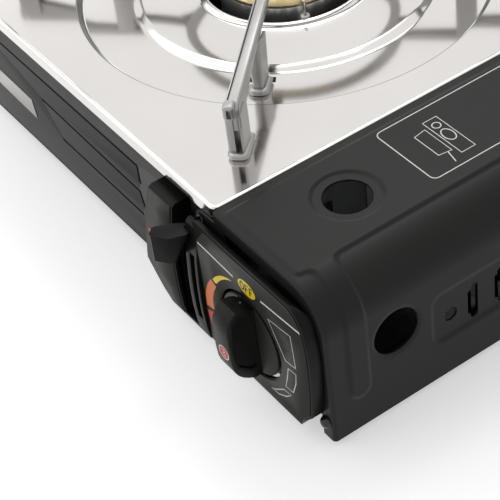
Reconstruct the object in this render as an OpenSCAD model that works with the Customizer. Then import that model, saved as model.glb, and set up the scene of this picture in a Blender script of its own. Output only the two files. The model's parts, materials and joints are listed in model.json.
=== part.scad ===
// Butane cassette stove: a pressed steel case with a stainless drip pan and burner on the
// left, and a cartridge bay under a hinged cover on the right.
// Work frame: +X to the user's right, +Y to the rear, +Z up. The work origin is the drip
// pan's front right top corner; stand() moves it to the middle of the stove's footprint.

/* [Drip pan] */
// Width of the drip pan, left to right
pan_w = 244; // [236:1:256]
// Depth of the drip pan, front to rear
pan_d = 252; // [248:1:264]
// Sheet thickness of the pan
pan_sheet = 1; // [0.8:0.1:1.4]
// Height of the pan's skirt
skirt_h = 6; // [5:0.5:7]
// Radius of the bead rolled along the pan's edge
bead_r = 1.2; // [0.9:0.1:1.4]
// Radius of the round recess
recess_r = 103.5; // [102:0.5:108]
// Depth of the round recess
recess_h = 4; // [3:0.5:5]
// Radius of the raised plateau in the recess
plateau_r = 72; // [64:1:78]
// Height of the plateau above the recess
plateau_h = 2.5; // [1.5:0.5:3]
// Radius of the burner opening
opening_r = 41; // [40:0.5:46]

/* [Case] */
// Height of the case from its base to the top of the pan
case_h = 76; // [75:1:84]
// Thickness of the case's sheet
sheet = 1; // [0.8:0.1:1.2]
// Distance of the case's walls inside the pan's edge
wall_inset = 3; // [2.6:0.2:4]
// Radius of the case's upright corners
corner_r = 8; // [6:1:12]
// Height of the feet
foot_h = 7; // [5:0.5:12]
// Radius of the feet
foot_r = 9; // [7:0.5:12]
// Distance of the feet from the walls
foot_inset = 26; // [20:1:34]
// Radius of the hem along the base's right edge
hem_r = 1.3; // [1:0.1:1.5]

/* [Cover] */
// Width of the cartridge bay, pan to the outside of the cover
bay_w = 76; // [75:1:84]
// Height of the cover's top above the pan
crown = 0.4; // [0.2:0.1:1.2]
// Radius of the cover's shoulder
shoulder_r = 21; // [16:1:24]
// Thickness of the cover's sheet
cover_sheet = 1; // [0.8:0.1:1.2]
// Width of the rim turned in at the cover's ends
rim_w = 7.6; // [6:0.2:8]
// Height of the raised panel and rib on the cover
emboss_h = 1.1; // [0.8:0.1:1.6]
// Distance of the hinge axis left of the pan's edge
hinge_in = 9; // [8:0.5:11]
// Distance of the hinge axis below the pan's top
hinge_down = 10.7; // [10.5:0.1:12]
// Radius of the hinge pins
hinge_pin_r = 1.6; // [1.4:0.1:1.8]
// Radius of the peep hole
peep_r = 11; // [9:0.5:12]
// Distance of the peep hole behind the pan's front edge
peep_y = 46.5; // [44:0.5:50]
// Radius of the round port in the cover's side
port_r = 11.5; // [9:0.5:12.5]
// Distance of the side port behind the pan's front edge
port_y = 34.6; // [32:0.2:37]
// Depth of the port's centre below the pan's top
port_down = 37.2; // [35:0.2:39]
// Width of a side vent slot
vent_w = 4; // [3:0.5:5]
// Length of a side vent slot
vent_h = 20; // [14:1:24]
// Number of side vent slots
vent_count = 10; // [6:1:11]

/* [Controls] */
// Distance of the panel's face in front of the pan's edge
face_out = 8; // [7:0.2:9]
// Wall of the control panel moulding
panel_wall = 2; // [1.6:0.2:2.4]
// Distance of the knob's axis right of the pan's edge
knob_x = 30; // [29:0.5:31]
// Depth of the knob's axis below the pan's top
knob_down = 45.6; // [45:0.2:46]
// Radius of the knob's dial
dial_r = 20; // [18:0.5:20.5]
// Radial gap round the dial
dial_gap = 1.6; // [1:0.1:2]
// Height of the grip above the dial
grip_h = 14.3; // [10:0.1:18]
// Thickness of the grip
grip_w = 11; // [8:0.5:13]
// Radius of the valve spindle
spindle_r = 3; // [2.5:0.1:3.5]
// Angle that the knob turns from off to ignition
knob_turn = 150; // [90:5:150]
// Angle that the lock lever turns
lever_turn = 45; // [40:1:48]
// Radius of the lever's crank
crank_r = 9; // [8.6:0.1:9.4]
// Radius of the crank pin
crank_pin_r = 1.5; // [1.2:0.1:1.8]

/* [Cartridge] */
// Radius of the gas cartridge that the bay takes
cartridge_r = 33; // [32:0.5:33.5]
// Length of the cartridge's body
cartridge_l = 182; // [150:1:184]

/* [Burner] */
// Radius of the burner's cup
cup_r = 33; // [28:0.5:34]
// Radius of the burner's neck
neck_r = 13; // [12:0.5:14]
// Radius of the mixing tube
tube_r = 9; // [8:0.5:10]
// Number of flame ports
port_count = 24; // [16:2:30]

/* [Pan support] */
// Distance of the outer feet from the burner's centre
arm_reach = 141; // [136:1:146]
// Height of the support's ridges above the pan
ridge_h = 28; // [24:1:34]
// Height of the end nubs above the ridges
nub_h = 0.6; // [0.4:0.2:2]
// Width of a support arm
arm_w = 7.4; // [7:0.2:9]
// Radius of the support's middle ring
ring_r = 52; // [48:1:56]

/* [Clearances] */
// Radial clearance of pins and shafts in their bores
fit = 0.05; // [0.03:0.01:0.08]
// Clearance between parts that pass each other
gap = 0.3; // [0.2:0.05:0.4]

/* [Hidden] */
eps = 0.01;
$fn = 48;

// Levels, measured up from the top of the pan
base_z = -case_h;
floor_z = base_z + sheet;
flat_z = -pan_sheet;
recess_z = flat_z - recess_h;

// Plan positions
mid_x = -pan_w / 2;
mid_y = pan_d / 2;
wall_y0 = wall_inset;
wall_y1 = pan_d - wall_inset;
wall_x0 = wall_inset - pan_w;
bay_end = bay_w - 9;
knob_z = -knob_down;
hinge_x = -hinge_in;
hinge_z = -hinge_down;
ear_r = hinge_down - skirt_h - gap;
end_out = 0.2 + cover_sheet;
head_out = end_out + gap + 1.2;
front_y = -(face_out + grip_h);
rear_y = pan_d + head_out;

// Cartridge position
can_x = 39;
can_z = floor_z + 2 + cartridge_r;
seat_y = 36;
can_y = seat_y + 9;

// Gas line: the mixing tube runs along a diagonal, the pipe passes under the lever
line_z = -38;
diag = 45;
elbow_d = 121;
bell_d = elbow_d - 17;
elbow = [mid_x + elbow_d * cos(diag), mid_y - elbow_d * sin(diag), line_z];
pipe_y = 18;
pipe_z = floor_z + 9;
pipe_r = 2.5;
outlet_x = 20;
electrode_r = 37.5;
electrode_a = -21;
electrode_at = [mid_x + electrode_r * cos(electrode_a), mid_y + electrode_r * sin(electrode_a)];

// Lever mechanism
pivot_y = 30;
pivot_z = -45;
arm_x = -20;
crank_half = lever_turn / 2;
crank_y = pivot_y + crank_r * sin(crank_half);
crank_z = pivot_z + crank_r * cos(crank_half);
carriage_go = 2 * crank_r * sin(crank_half);
lever_pin_r = 2;
slot_play = 0.3;

// Igniter
cam_r = 8;
cam_lift = 5;
cam_y = wall_y0 + sheet + 1;
cam_t = 4;
plunger_r = 2;
plunger_x = knob_x + cam_r + gap;
igniter_y = cam_y + cam_t / 2;

// Centres the footprint on the origin and stands the feet on the ground.
module stand() {
    translate([(pan_w - bay_w - emboss_h) / 2, -(front_y + rear_y) / 2, foot_h + case_h])
        children();
}

// Extrudes an X-Z outline from y0 to y1.
module along_y(y0, y1) {
    translate([0, y1, 0])
        rotate([90, 0, 0])
            linear_extrude(y1 - y0)
                children();
}

// Extrudes a Y-Z outline from x0 to x1.
module along_x(x0, x1) {
    translate([x0, 0, 0])
        rotate([90, 0, 90])
            linear_extrude(x1 - x0)
                children();
}

// Box between two opposite corners.
module span(a, b) {
    translate(a)
        cube(b - a);
}

// Cylinder along Y between y0 and y1.
module rod_y(r, x, z, y0, y1) {
    translate([x, y0, z])
        rotate([-90, 0, 0])
            cylinder(r = r, h = y1 - y0);
}

// Cylinder along X between x0 and x1.
module rod_x(r, y, z, x0, x1) {
    translate([x0, y, z])
        rotate([0, 90, 0])
            cylinder(r = r, h = x1 - x0);
}

// Cylinder along Z between z0 and z1.
module rod_z(r, x, y, z0, z1) {
    translate([x, y, z0])
        cylinder(r = r, h = z1 - z0);
}

// Sweeps a section round a rounded rectangle; its x runs outward from the corner centres.
module around(x0, y0, x1, y1, r) {
    corners = [[x1 - r, y1 - r], [x0 + r, y1 - r], [x0 + r, y0 + r], [x1 - r, y0 + r]];
    for (k = [0:3]) {
        run = (k % 2 == 0) ? y1 - y0 - 2 * r : x1 - x0 - 2 * r;
        translate(concat(corners[k], 0))
            rotate([0, 0, 90 * k]) {
                rotate_extrude(angle = 90)
                    children();
                along_y(-run, 0)
                    children();
            }
    }
}

// Rounded rectangle plate from z0 to z1.
module plate(x0, y0, x1, y1, r, z0, z1) {
    span([x0 + r, y0, z0], [x1 - r, y1, z1]);
    span([x0, y0 + r, z0], [x1, y1 - r, z1]);
    for (x = [x0 + r, x1 - r])
        for (y = [y0 + r, y1 - r])
            rod_z(r, x, y, z0, z1);
}

// Bar with round ends between two points of an X-Z outline.
module stroke(a, b, w) {
    d = b - a;
    translate(a)
        rotate(atan2(d.y, d.x))
            translate([0, -w / 2])
                square([norm(d), w]);
    for (p = [a, b])
        translate(p)
            circle(d = w + 0.1);
}

// Round bar through a list of points, with a ball at each bend.
module bar_path(points, r, ball) {
    last = len(points) - 1;
    for (k = [0:last - 1]) {
        d = points[k + 1] - points[k];
        translate(points[k])
            rotate([0, acos(d.z / norm(d)), atan2(d.y, d.x)])
                cylinder(r = r, h = norm(d), $fn = 24);
        if (k > 0)
            translate(points[k])
                sphere(r = ball, $fn = 24);
    }
}

// Places children on the four diagonals round the burner, with X outward.
module diagonals() {
    translate([mid_x, mid_y, 0])
        for (k = [0:3])
            rotate([0, 0, diag + 90 * k])
                children();
}

// ---- Case ----

bend_r = 3.5;
lip_w = 8;
groove_w = 1.8;
groove_t = 0.5;
lever_gap = [-23.5, -16.5];
screw_r = 1.5;
screw_head_r = 2.8;

// Section of the case wall: top lip, wall, bend and bottom lip.
module wall_section() {
    translate([0, flat_z - pan_sheet - sheet])
        square([corner_r, sheet]);
    translate([corner_r - sheet, floor_z + bend_r])
        square([sheet, -floor_z - bend_r - 2 * pan_sheet]);
    translate([corner_r - bend_r, floor_z + bend_r])
        intersection() {
            difference() {
                circle(r = bend_r);
                circle(r = bend_r - sheet);
            }
            translate([0, -bend_r])
                square(bend_r);
        }
    translate([0, floor_z])
        square([corner_r - bend_r, sheet]);
}

// Pressed lines of the front wall, as X-Z outlines.
module wall_grooves() {
    stroke([wall_x0 + 18, -21.7], [-70.5, -21.7], groove_w);
    stroke([-70.5, -21.7], [-70.5, -31.5], groove_w);
    stroke([-162, -36.4], [-72.6, -38.2], groove_w);
    stroke([-72.6, -38.2], [-70.5, -46], groove_w);
    stroke([-147, -52.6], [-73.7, -52.8], groove_w);
}

module body_shell() {
    color([0.14, 0.14, 0.14])
        stand()
            difference() {
                around(wall_x0, wall_y0, bay_end + corner_r, wall_y1, corner_r)
                    wall_section();
                span([bay_end - eps, 0, base_z], [bay_w, pan_d, 0]);
                span([-2 * bead_r - gap, 0, -skirt_h - gap], [gap, pan_d, 0]);
                along_y(0, pan_d)
                    difference() {
                        translate([bay_w - shoulder_r, crown - shoulder_r])
                            square(shoulder_r + 1);
                        cover_outline(cover_sheet + gap);
                    }
                along_y(wall_y0 - 1, wall_y0 + groove_t)
                    wall_grooves();
                span([lever_gap[0], 0, -64], [lever_gap[1], wall_y0 + 2, -22]);
                rod_y(spindle_r + 0.6, knob_x, knob_z, 0, wall_y0 + 2);
                for (p = panel_screw_at)
                    rod_y(screw_r + fit, p.x, p.y, 0, wall_y0 + 2);
                for (p = standoffs)
                    rod_y(screw_r + fit, p.x, p.y, 0, wall_y0 + 2);
                for (y = [0, wall_y1 - 2])
                    rod_y(hinge_pin_r + fit, hinge_x, hinge_z, y, y + wall_y0 + 2);
                for (k = [0:7])
                    span([wall_x0 - 1, 60 + 18 * k, -50], [wall_x0 + 2, 63 + 18 * k, -26]);
            }
}

module base_plate() {
    color([0.16, 0.16, 0.16])
        stand()
            difference() {
                union() {
                    plate(wall_x0 + 1, wall_y0 + 1, 6, wall_y1 - 1, 4, base_z, floor_z);
                    span([0, wall_y0 - 0.7, base_z], [bay_w - hem_r, wall_y1 + 0.7, floor_z]);
                    rod_y(hem_r, bay_w - hem_r, base_z + hem_r, wall_y0 - 0.7, wall_y1 + 0.7);
                }
                for (k = [-3:3])
                    span([mid_x - 45, mid_y + 14 * k - 2, base_z - 1], [mid_x + 45, mid_y + 14 * k + 2, 0]);
                for (p = foot_at)
                    rod_z(screw_r + fit, p.x, p.y, base_z - 1, 0);
            }
}

part_x = 1.5;
part_top = -skirt_h - gap;
window_y = [38, 58];
window_z = [-53, -27];
tab_in = 20;
tab_w = 12;
vents = 4;
vent_pitch = (pan_d - 2 * 62) / vents;
vent_from = 62 + (vent_pitch - 22) / 2;

module partition_wall() {
    color([0.2, 0.2, 0.2])
        stand()
            difference() {
                union() {
                    span([part_x, wall_y0 + sheet + bend_r, floor_z + sheet],
                         [part_x + sheet, wall_y1 - sheet - bend_r, part_top]);
                    span([part_x - 5, wall_y0 + sheet + 6, floor_z + sheet],
                         [part_x + sheet, wall_y1 - sheet - 6, floor_z + 2 * sheet]);
                    span([part_x - 8, wall_y0 + sheet + bend_r, part_top - sheet],
                         [part_x + sheet, wall_y1 - sheet - bend_r, part_top]);
                    for (y = [tab_in, pan_d - tab_in - tab_w])
                        span([part_x - 5, y, floor_z], [part_x, y + tab_w, floor_z + sheet]);
                }
                rod_x(pipe_r + 1.5, pipe_y, pipe_z, part_x - 2, part_x + 3);
                rod_x(2.4, lead[2].y, lead[2].z, part_x - 2, part_x + 3);
                span([part_x - 2, window_y[0], window_z[0]], [part_x + 3, window_y[1], window_z[1]]);
                for (k = [0:vents - 1])
                    translate([0, vent_from + vent_pitch * k, 0])
                        span([part_x - 2, 0, -21], [part_x + 3, 22, -15]);
            }
}

foot_at = [[wall_x0 + foot_inset, wall_y0 + foot_inset], [bay_w - foot_inset, wall_y0 + foot_inset],
           [wall_x0 + foot_inset, wall_y1 - foot_inset], [bay_w - foot_inset, wall_y1 - foot_inset]];

module feet() {
    color([0.05, 0.05, 0.05])
        stand()
            for (p = foot_at)
                difference() {
                    translate([p.x, p.y, base_z - foot_h])
                        cylinder(r1 = foot_r - 1, r2 = foot_r, h = foot_h);
                    rod_z(screw_r + fit, p.x, p.y, base_z - foot_h - 1, base_z + 1);
                    rod_z(4, p.x, p.y, base_z - foot_h - 1, base_z - foot_h + 3.2);
                }
}

module base_screws() {
    color([0.7, 0.7, 0.7])
        stand()
            for (p = foot_at) {
                rod_z(screw_r, p.x, p.y, base_z - foot_h + 3.2, floor_z + 2.5);
                rod_z(3, p.x, p.y, base_z - foot_h + 1.4, base_z - foot_h + 3.2);
                rod_z(3, p.x, p.y, floor_z, floor_z + 2);
            }
}

// Bare raised strip on the front wall.
module trim_strip() {
    color([0.7, 0.68, 0.66])
        stand()
            along_y(wall_y0 - 0.4, wall_y0)
                polygon([[wall_x0 + 14, -43], [-176, -44], [-174, -55], [wall_x0 + 14, -53]]);
}

// ---- Drip pan ----

pan_corner = 4;
wall_run = recess_h;
slot_at = 80;
slot_half = [2, 8];

// Section of the pan's edge, outward from the corner centres.
module pan_edge() {
    translate([pan_corner - bead_r, -bead_r])
        circle(r = bead_r, $fn = 24);
    translate([0, flat_z - pan_sheet])
        square([pan_corner - bead_r, pan_sheet]);
    translate([pan_corner - pan_sheet, -skirt_h])
        square([pan_sheet, skirt_h - bead_r]);
}

// Section of the round recess, outward from the burner's centre.
module recess_section() {
    step_z = recess_z + plateau_h;
    polygon([[recess_r + eps, flat_z], [recess_r, flat_z], [recess_r - wall_run, recess_z],
             [plateau_r + plateau_h, recess_z], [plateau_r, step_z], [opening_r + 3, step_z],
             [opening_r + 1, step_z + 2], [opening_r, step_z + 2], [opening_r, step_z + 1],
             [opening_r + 2, step_z - pan_sheet], [plateau_r - 0.4, step_z - pan_sheet],
             [plateau_r + plateau_h - 0.4, recess_z - pan_sheet],
             [recess_r - wall_run + 0.4, recess_z - pan_sheet], [recess_r + 0.4, flat_z - pan_sheet],
             [recess_r + eps, flat_z - pan_sheet]]);
}

module drip_pan() {
    color([0.85, 0.85, 0.84])
        stand() {
            around(-pan_w, 0, 0, pan_d, pan_corner)
                pan_edge();
            difference() {
                union() {
                    difference() {
                        span([pan_corner - pan_w, pan_corner, flat_z - pan_sheet],
                             [-pan_corner, pan_d - pan_corner, flat_z]);
                        rod_z(recess_r, mid_x, mid_y, -9, 1, $fn = 96);
                    }
                    translate([mid_x, mid_y, 0])
                        rotate_extrude($fn = 96)
                            recess_section();
                }
                diagonals()
                    span([slot_at - slot_half.x, -slot_half.y, -9], [slot_at + slot_half.x, slot_half.y, 1]);
            }
        }
}

// ---- Pan support ----

steel = 1.2;
ridge_t = 4;
ridge_w = 5.4;
flank_h = 12;
nub_w = 5.2;
leg_in = 92.5;
leg_depth = 11;
support_play = 1.4;
rest_gap = 0.05;
web_r = arm_reach - 4;

// Side view of one arm's ridge: X outward, Y up.
module ridge_side(t) {
    polygon([[ring_r, ridge_h - t], [web_r, ridge_h - t], [web_r, ridge_h - flank_h],
             [web_r - 10, ridge_h - flank_h + 3], [leg_in + 8, ridge_h - ridge_t],
             [ring_r, ridge_h - ridge_t]]);
}

// Channel of a leg on its foot: web outward, flanks inward, with a lip round the foot.
module leg_channel(out, back, foot, top) {
    half = arm_w / 2;
    lip = 0.7;
    difference() {
        union() {
            span([back, -half, foot], [out, half, top]);
            span([back, -half - lip, foot], [out + lip, half + lip, foot + 2.4]);
        }
        span([back - 1, steel - half, foot - 1], [out - steel, half - steel, top + 1]);
    }
}

// One arm: ridge channel, outer leg and nub, inner leg.
module support_arm() {
    difference() {
        rotate([90, 0, 0])
            translate([0, 0, -ridge_w / 2])
                linear_extrude(ridge_w)
                    ridge_side(0);
        rotate([90, 0, 0])
            translate([0, 0, steel - ridge_w / 2])
                linear_extrude(ridge_w - 2 * steel)
                    translate([0, -eps])
                        ridge_side(steel);
    }
    leg_channel(arm_reach, arm_reach - leg_depth, flat_z + rest_gap, ridge_h - 6);
    leg_channel(leg_in, leg_in - leg_depth, recess_z + rest_gap, ridge_h - ridge_t + steel);
    span([web_r - 2, -nub_w / 2, ridge_h - 6.5], [arm_reach + 1.6, nub_w / 2, ridge_h + nub_h]);
}

// The support stands off centre by the play in its seat.
module pan_support() {
    color([0.6, 0.6, 0.6])
        stand()
            translate([support_play, support_play, 0]) {
                diagonals()
                    support_arm();
                translate([mid_x, mid_y, ridge_h - ridge_t + 0.2])
                    difference() {
                        cylinder(r = ring_r + 3, h = ridge_t - 0.4, $fn = 96);
                        translate([0, 0, -1])
                            cylinder(r = ring_r - 3, h = ridge_t + 2, $fn = 96);
                    }
            }
}

// ---- Burner and gas line ----

cup_z = [-17, 2];
neck_z = -54;
cap_t = 6;

module burner_body() {
    color([0.7, 0.7, 0.7])
        stand()
            translate([mid_x, mid_y, 0])
                difference() {
                    union() {
                        rotate_extrude($fn = 72)
                            polygon([[0, neck_z], [neck_r, neck_z], [neck_r, cup_z[0] - 8],
                                     [cup_r, cup_z[0]], [cup_r, cup_z[1]], [0, cup_z[1]]]);
                        rotate([0, 0, -diag])
                            rod_x(tube_r + 2, 0, line_z, 0, neck_r + 14);
                    }
                    rotate_extrude($fn = 72)
                        polygon([[0, neck_z + 2], [neck_r - 2.5, neck_z + 2],
                                 [neck_r - 2.5, cup_z[0] - 7], [cup_r - 3, cup_z[0] + 2],
                                 [cup_r - 3, cup_z[1] + 1], [0, cup_z[1] + 1]]);
                    rotate([0, 0, -diag])
                        rod_x(tube_r + fit, 0, line_z, 0, neck_r + 15);
                }
}

module burner_cap() {
    color([0.72, 0.6, 0.35])
        stand()
            translate([mid_x, mid_y, cup_z[1]])
                difference() {
                    union() {
                        rotate_extrude($fn = 72)
                            polygon([[0, 0], [cup_r + 1, 0], [cup_r + 1, 2], [cup_r - 4, cap_t],
                                     [12, cap_t], [9, cap_t - 2], [0, cap_t - 2]]);
                        translate([0, 0, -3])
                            cylinder(r = cup_r - 3 - gap, h = 3 + eps, $fn = 72);
                    }
                    translate([0, 0, -4])
                        cylinder(r = cup_r - 6, h = 5.5, $fn = 72);
                    for (k = [0:port_count - 1])
                        rotate([0, 0, 360 * k / port_count])
                            translate([cup_r - 8, 0, 1])
                                rotate([0, 50, 0])
                                    cylinder(r = 0.9, h = 14, $fn = 16);
                }
}

module mixing_tube() {
    start = neck_r + 1;
    color([0.62, 0.62, 0.62])
        stand()
            translate([mid_x, mid_y, line_z])
                rotate([0, 90, -diag])
                    rotate_extrude()
                        polygon([[tube_r - 1.5, start], [tube_r, start], [tube_r, bell_d - 20], [tube_r + 5, bell_d],
                                 [tube_r + 3.5, bell_d], [tube_r - 1.5, bell_d - 20]]);
}

module gas_nozzle() {
    color([0.75, 0.62, 0.35])
        stand()
            translate([mid_x, mid_y, line_z])
                rotate([0, 90, -diag])
                    translate([0, 0, bell_d - 4])
                        rotate_extrude()
                            polygon([[0.4, 0], [2, 0], [3, 5], [5, 5], [5, 11], [3.4, 11], [3.4, 14],
                                     [0.4, 14]]);
}

module gas_pipe() {
    tip = [mid_x + (bell_d + 10) * cos(diag), mid_y - (bell_d + 10) * sin(diag), line_z];
    color([0.72, 0.5, 0.3])
        stand()
            bar_path([[outlet_x, pipe_y, pipe_z + 9], [outlet_x, pipe_y, pipe_z], [elbow.x, pipe_y, pipe_z],
                      elbow, tip], pipe_r, pipe_r + 0.6);
}

module burner_bracket() {
    color([0.6, 0.6, 0.6])
        stand()
            translate([mid_x, mid_y, 0])
                difference() {
                    union() {
                        span([-12, -30, floor_z], [12, 30, floor_z + 1.2]);
                        for (s = [-1, 1]) {
                            span([-12, s * 18 - 0.6, floor_z + 1], [12, s * 18 + 0.6, neck_z - 1.2 + eps]);
                        }
                        span([-12, -18.6, neck_z - 1.2], [12, 18.6, neck_z]);
                    }
                    rod_z(4, 0, 0, base_z, neck_z + 1);
                }
}

// ---- Regulator ----

standoff_r = 16.5;
standoffs = [for (a = [30, 150, 270]) [knob_x + standoff_r * cos(a), knob_z + standoff_r * sin(a)]];
cap_y = cam_y + cam_t + 1;
reg_r = 14;

module regulator_body() {
    color([0.66, 0.66, 0.66])
        stand()
            difference() {
                union() {
                    rod_y(reg_r, knob_x, knob_z, cap_y + 3, seat_y);
                    rod_y(9, can_x, can_z, cap_y + 8, seat_y);
                    rod_z(4.4, outlet_x, pipe_y, pipe_z + 4, knob_z);
                }
                rod_y(spindle_r + fit, knob_x, knob_z, cap_y, cap_y + 10);
                rod_z(pipe_r + fit, outlet_x, pipe_y, pipe_z + 3, pipe_z + 9.4);
                rod_y(2, can_x, can_z, seat_y - 8, seat_y + 1);
            }
}

module regulator_cap() {
    color([0.6, 0.6, 0.6])
        stand()
            difference() {
                union() {
                    rod_y(standoff_r + 3, knob_x, knob_z, cap_y, cap_y + 3);
                    for (p = standoffs)
                        rod_y(2.6, p.x, p.y, wall_y0 + sheet, cap_y + eps);
                }
                rod_y(spindle_r + fit, knob_x, knob_z, cap_y - 1, cap_y + 4);
                for (p = standoffs)
                    rod_y(screw_r + fit, p.x, p.y, wall_y0, cap_y + 4);
            }
}

module regulator_screws() {
    color([0.75, 0.75, 0.75])
        stand()
            for (p = standoffs) {
                rod_y(screw_r, p.x, p.y, wall_y0 - 0.2, cap_y + 3);
                rod_y(2.5, p.x, p.y, cap_y + 3, cap_y + 4.6);
                rod_y(2.5, p.x, p.y, wall_y0 - 1.2, wall_y0);
            }
}

module cartridge_seat() {
    color([0.7, 0.7, 0.7])
        stand()
            difference() {
                union() {
                    rod_y(19, can_x, can_z, seat_y, seat_y + 2);
                    rod_y(6, can_x, can_z, seat_y, seat_y + 5);
                    span([can_x - 2, seat_y, can_z + 13], [can_x + 2, seat_y + 6, can_z + 18]);
                }
                rod_y(2, can_x, can_z, seat_y - 1, seat_y + 6);
            }
}

module seat_gasket() {
    color([0.05, 0.05, 0.05])
        stand()
            difference() {
                rod_y(10, can_x, can_z, seat_y + 2, seat_y + 4);
                rod_y(6 + fit, can_x, can_z, seat_y + 1, seat_y + 5);
            }
}

// ---- Igniter ----

ign_x = [51, 72];
ign_half = 4.6;

module igniter_body() {
    color([0.9, 0.88, 0.8])
        stand()
            difference() {
                union() {
                    span([ign_x[0], igniter_y - 2.4, knob_z - ign_half],
                         [ign_x[1], igniter_y + ign_half, knob_z + ign_half]);
                    rod_x(3.4, igniter_y + 1, knob_z, ign_x[0] - 1, ign_x[1]);
                }
                rod_x(plunger_r + gap, igniter_y, knob_z, ign_x[0] - 3, ign_x[1] - 4);
            }
}

module igniter_plunger() {
    color([0.12, 0.12, 0.12])
        stand()
            rod_x(plunger_r, igniter_y, knob_z, plunger_x, ign_x[1] - 5 - cam_lift);
}

module igniter_bracket() {
    y0 = wall_y0 + sheet;
    color([0.6, 0.6, 0.6])
        stand() {
            span([ign_x[0] + 4, y0, knob_z + ign_half], [ign_x[0] + 13, y0 + 0.8, knob_z + 12]);
            span([ign_x[0] + 4, y0, knob_z + ign_half], [ign_x[0] + 13, igniter_y + 6, knob_z + ign_half + 0.8]);
            span([ign_x[0] + 4, igniter_y + ign_half, knob_z - ign_half],
                 [ign_x[0] + 13, igniter_y + ign_half + 0.8, knob_z + ign_half + eps]);
        }
}

// Bends of the lead, from the igniter to the electrode.
lead = [[64, 12.2, -51.4], [64, 12.2, -66], [4.5, 10, -70], [-45, 10, -70], [-80, 70, -70], [-80, 100, -66],
        concat(electrode_at, -30)];

module spark_lead() {
    color([0.08, 0.08, 0.08])
        stand()
            bar_path(lead, 1.2, 1.9);
}

module electrode_insulator() {
    color([0.92, 0.91, 0.88])
        stand()
            rod_z(2.2, electrode_at.x, electrode_at.y, -29.6, -1);
}

module electrode_rod() {
    color([0.8, 0.8, 0.8])
        stand()
            translate(concat(electrode_at, 0)) {
                rod_z(0.8, 0, 0, -1, 7);
                translate([0, 0, 7])
                    rotate([0, -90, electrode_a])
                        cylinder(r = 0.8, h = 5, $fn = 24);
                translate([0, 0, 7])
                    sphere(r = 1, $fn = 24);
            }
}

// Clip that holds the electrode to the burner's neck.
module electrode_clip() {
    color([0.62, 0.62, 0.62])
        stand()
            translate([mid_x, mid_y, cup_z[0] - 9.4])
                rotate([0, 0, electrode_a])
                    difference() {
                        union() {
                            span([0, -4, 0], [electrode_r, 4, 1.2]);
                            rod_z(neck_r + 2.5, 0, 0, 0, 1.2);
                            rod_z(4, electrode_r, 0, 0, 1.2);
                        }
                        rod_z(neck_r + fit, 0, 0, -1, 2);
                        rod_z(2.2 + fit, electrode_r, 0, -1, 2);
                    }
}

// ---- Control panel ----

screw_row = floor_z + bend_r + screw_head_r + gap;
panel_screw_at = [[2, screw_row], [57, screw_row], [-33, screw_row]];
back_y = -end_out - 0.4;
slot_w = [-25, -14.5];
slot2 = [-11.5, -7.8];
face_t = 0.4;
hole_r = dial_r + dial_gap;

// Outline of the knob half: X outward, Z up; t is the wall taken off it.
module knob_outline(t) {
    polygon([[-6 + t, base_z + t], [61.5 - t, base_z + t], [63.2 - t, base_z + 4 + t],
             [67 - t / 2, base_z + 7.5 + t], [70.6 - t, -64.5 + t], [72.5 - t, -48], [73.2 - t, -34],
             [72.5 - t, -22], [70.4 - t, -12.5 - t / 2], [67 - t, -7.6 - t], [62 - t, -5 - t],
             [-6 + t, -5 - t]]);
}

// Outline of the lever half.
module lever_outline(t) {
    polygon([[-43.7 + t, -10.4 - t], [-47 + t, -24], [-49 + t, -44], [-51.3 + t, -56.5],
             [-44 + t, -67 + t / 2], [-37 + t / 2, base_z + t], [-6 - t, base_z + t], [-6 - t, -10.4 - t]]);
}

// Side view of the lever half: Y forward at the left, Z up.
module lever_side(t) {
    polygon([[3 + eps, -10.4 - t], [-4.8 + t, -10.4 - t], [-6.3 + t, -12 - t / 2], [-7.4 + t, -19],
             [-8.6 + t, -29], [-9.5 + t, -42], [-9.7 + t, -52], [-9.6 + t, -59], [-9 + t, -69],
             [-8 + t, base_z + t], [3 + eps, base_z + t]]);
}

module lever_solid(t) {
    intersection() {
        along_x(-52, -5)
            lever_side(t);
        along_y(-13, wall_y0)
            lever_outline(t);
    }
}

module control_panel() {
    w = panel_wall;
    color([0.06, 0.06, 0.06])
        stand()
            difference() {
                union() {
                    difference() {
                        lever_solid(0);
                        lever_solid(w);
                    }
                    difference() {
                        along_y(-face_out + face_t, back_y)
                            knob_outline(0);
                        along_y(-face_out + face_t + w, back_y + 1)
                            knob_outline(w);
                    }
                    span([-27, -6, base_z + eps], [slot_w[0], wall_y0, -12.5]);
                    span([slot_w[1], -6, base_z + eps], [slot_w[1] + 1.6, wall_y0, -16]);
                    for (p = panel_screw_at)
                        rod_y(3.4, p.x, p.y, -face_out + face_t + 1, wall_y0);
                }
                along_x(-5.9, 80)
                    polygon([[-face_out + 0.8, -4.9], [0, -4.9], [0, -11], [back_y, -10.4], [-4.6, -6.4]]);
                span([slot_w[0], -13, -74], [slot_w[1], wall_y0 + 1, -5]);
                span([slot2[0], -13, -65], [slot2[1], -6, -27]);
                span([slot_w[1] - 1, back_y, -16], [bay_w, wall_y0 + 1, 0]);
                span([slot_w[1] - 1, back_y - 1.6, -16], [-5.2, wall_y0 + 1, 0]);
                rod_y(hole_r, knob_x, knob_z, -12, 0, $fn = 96);
                for (p = panel_screw_at)
                    rod_y(screw_r + fit, p.x, p.y, -face_out + face_t + 2.4, wall_y0 + 1);
            }
}

module knob_faceplate() {
    color([0.32, 0.32, 0.32])
        stand()
            difference() {
                along_y(-face_out, -face_out + face_t)
                    polygon([[-4.6, base_z + 1.2], [61, base_z + 1.2], [62.4, base_z + 5],
                             [66.2, base_z + 8.6], [69.6, -63.8], [71.4, -48], [72, -34], [71.4, -22.4],
                             [69.4, -13.4], [66.2, -8.8], [61.6, -6.4], [2.4, -6.4], [-4.6, -15.5]]);
                rod_y(hole_r + 0.6, knob_x, knob_z, -12, 0, $fn = 96);
            }
}

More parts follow.
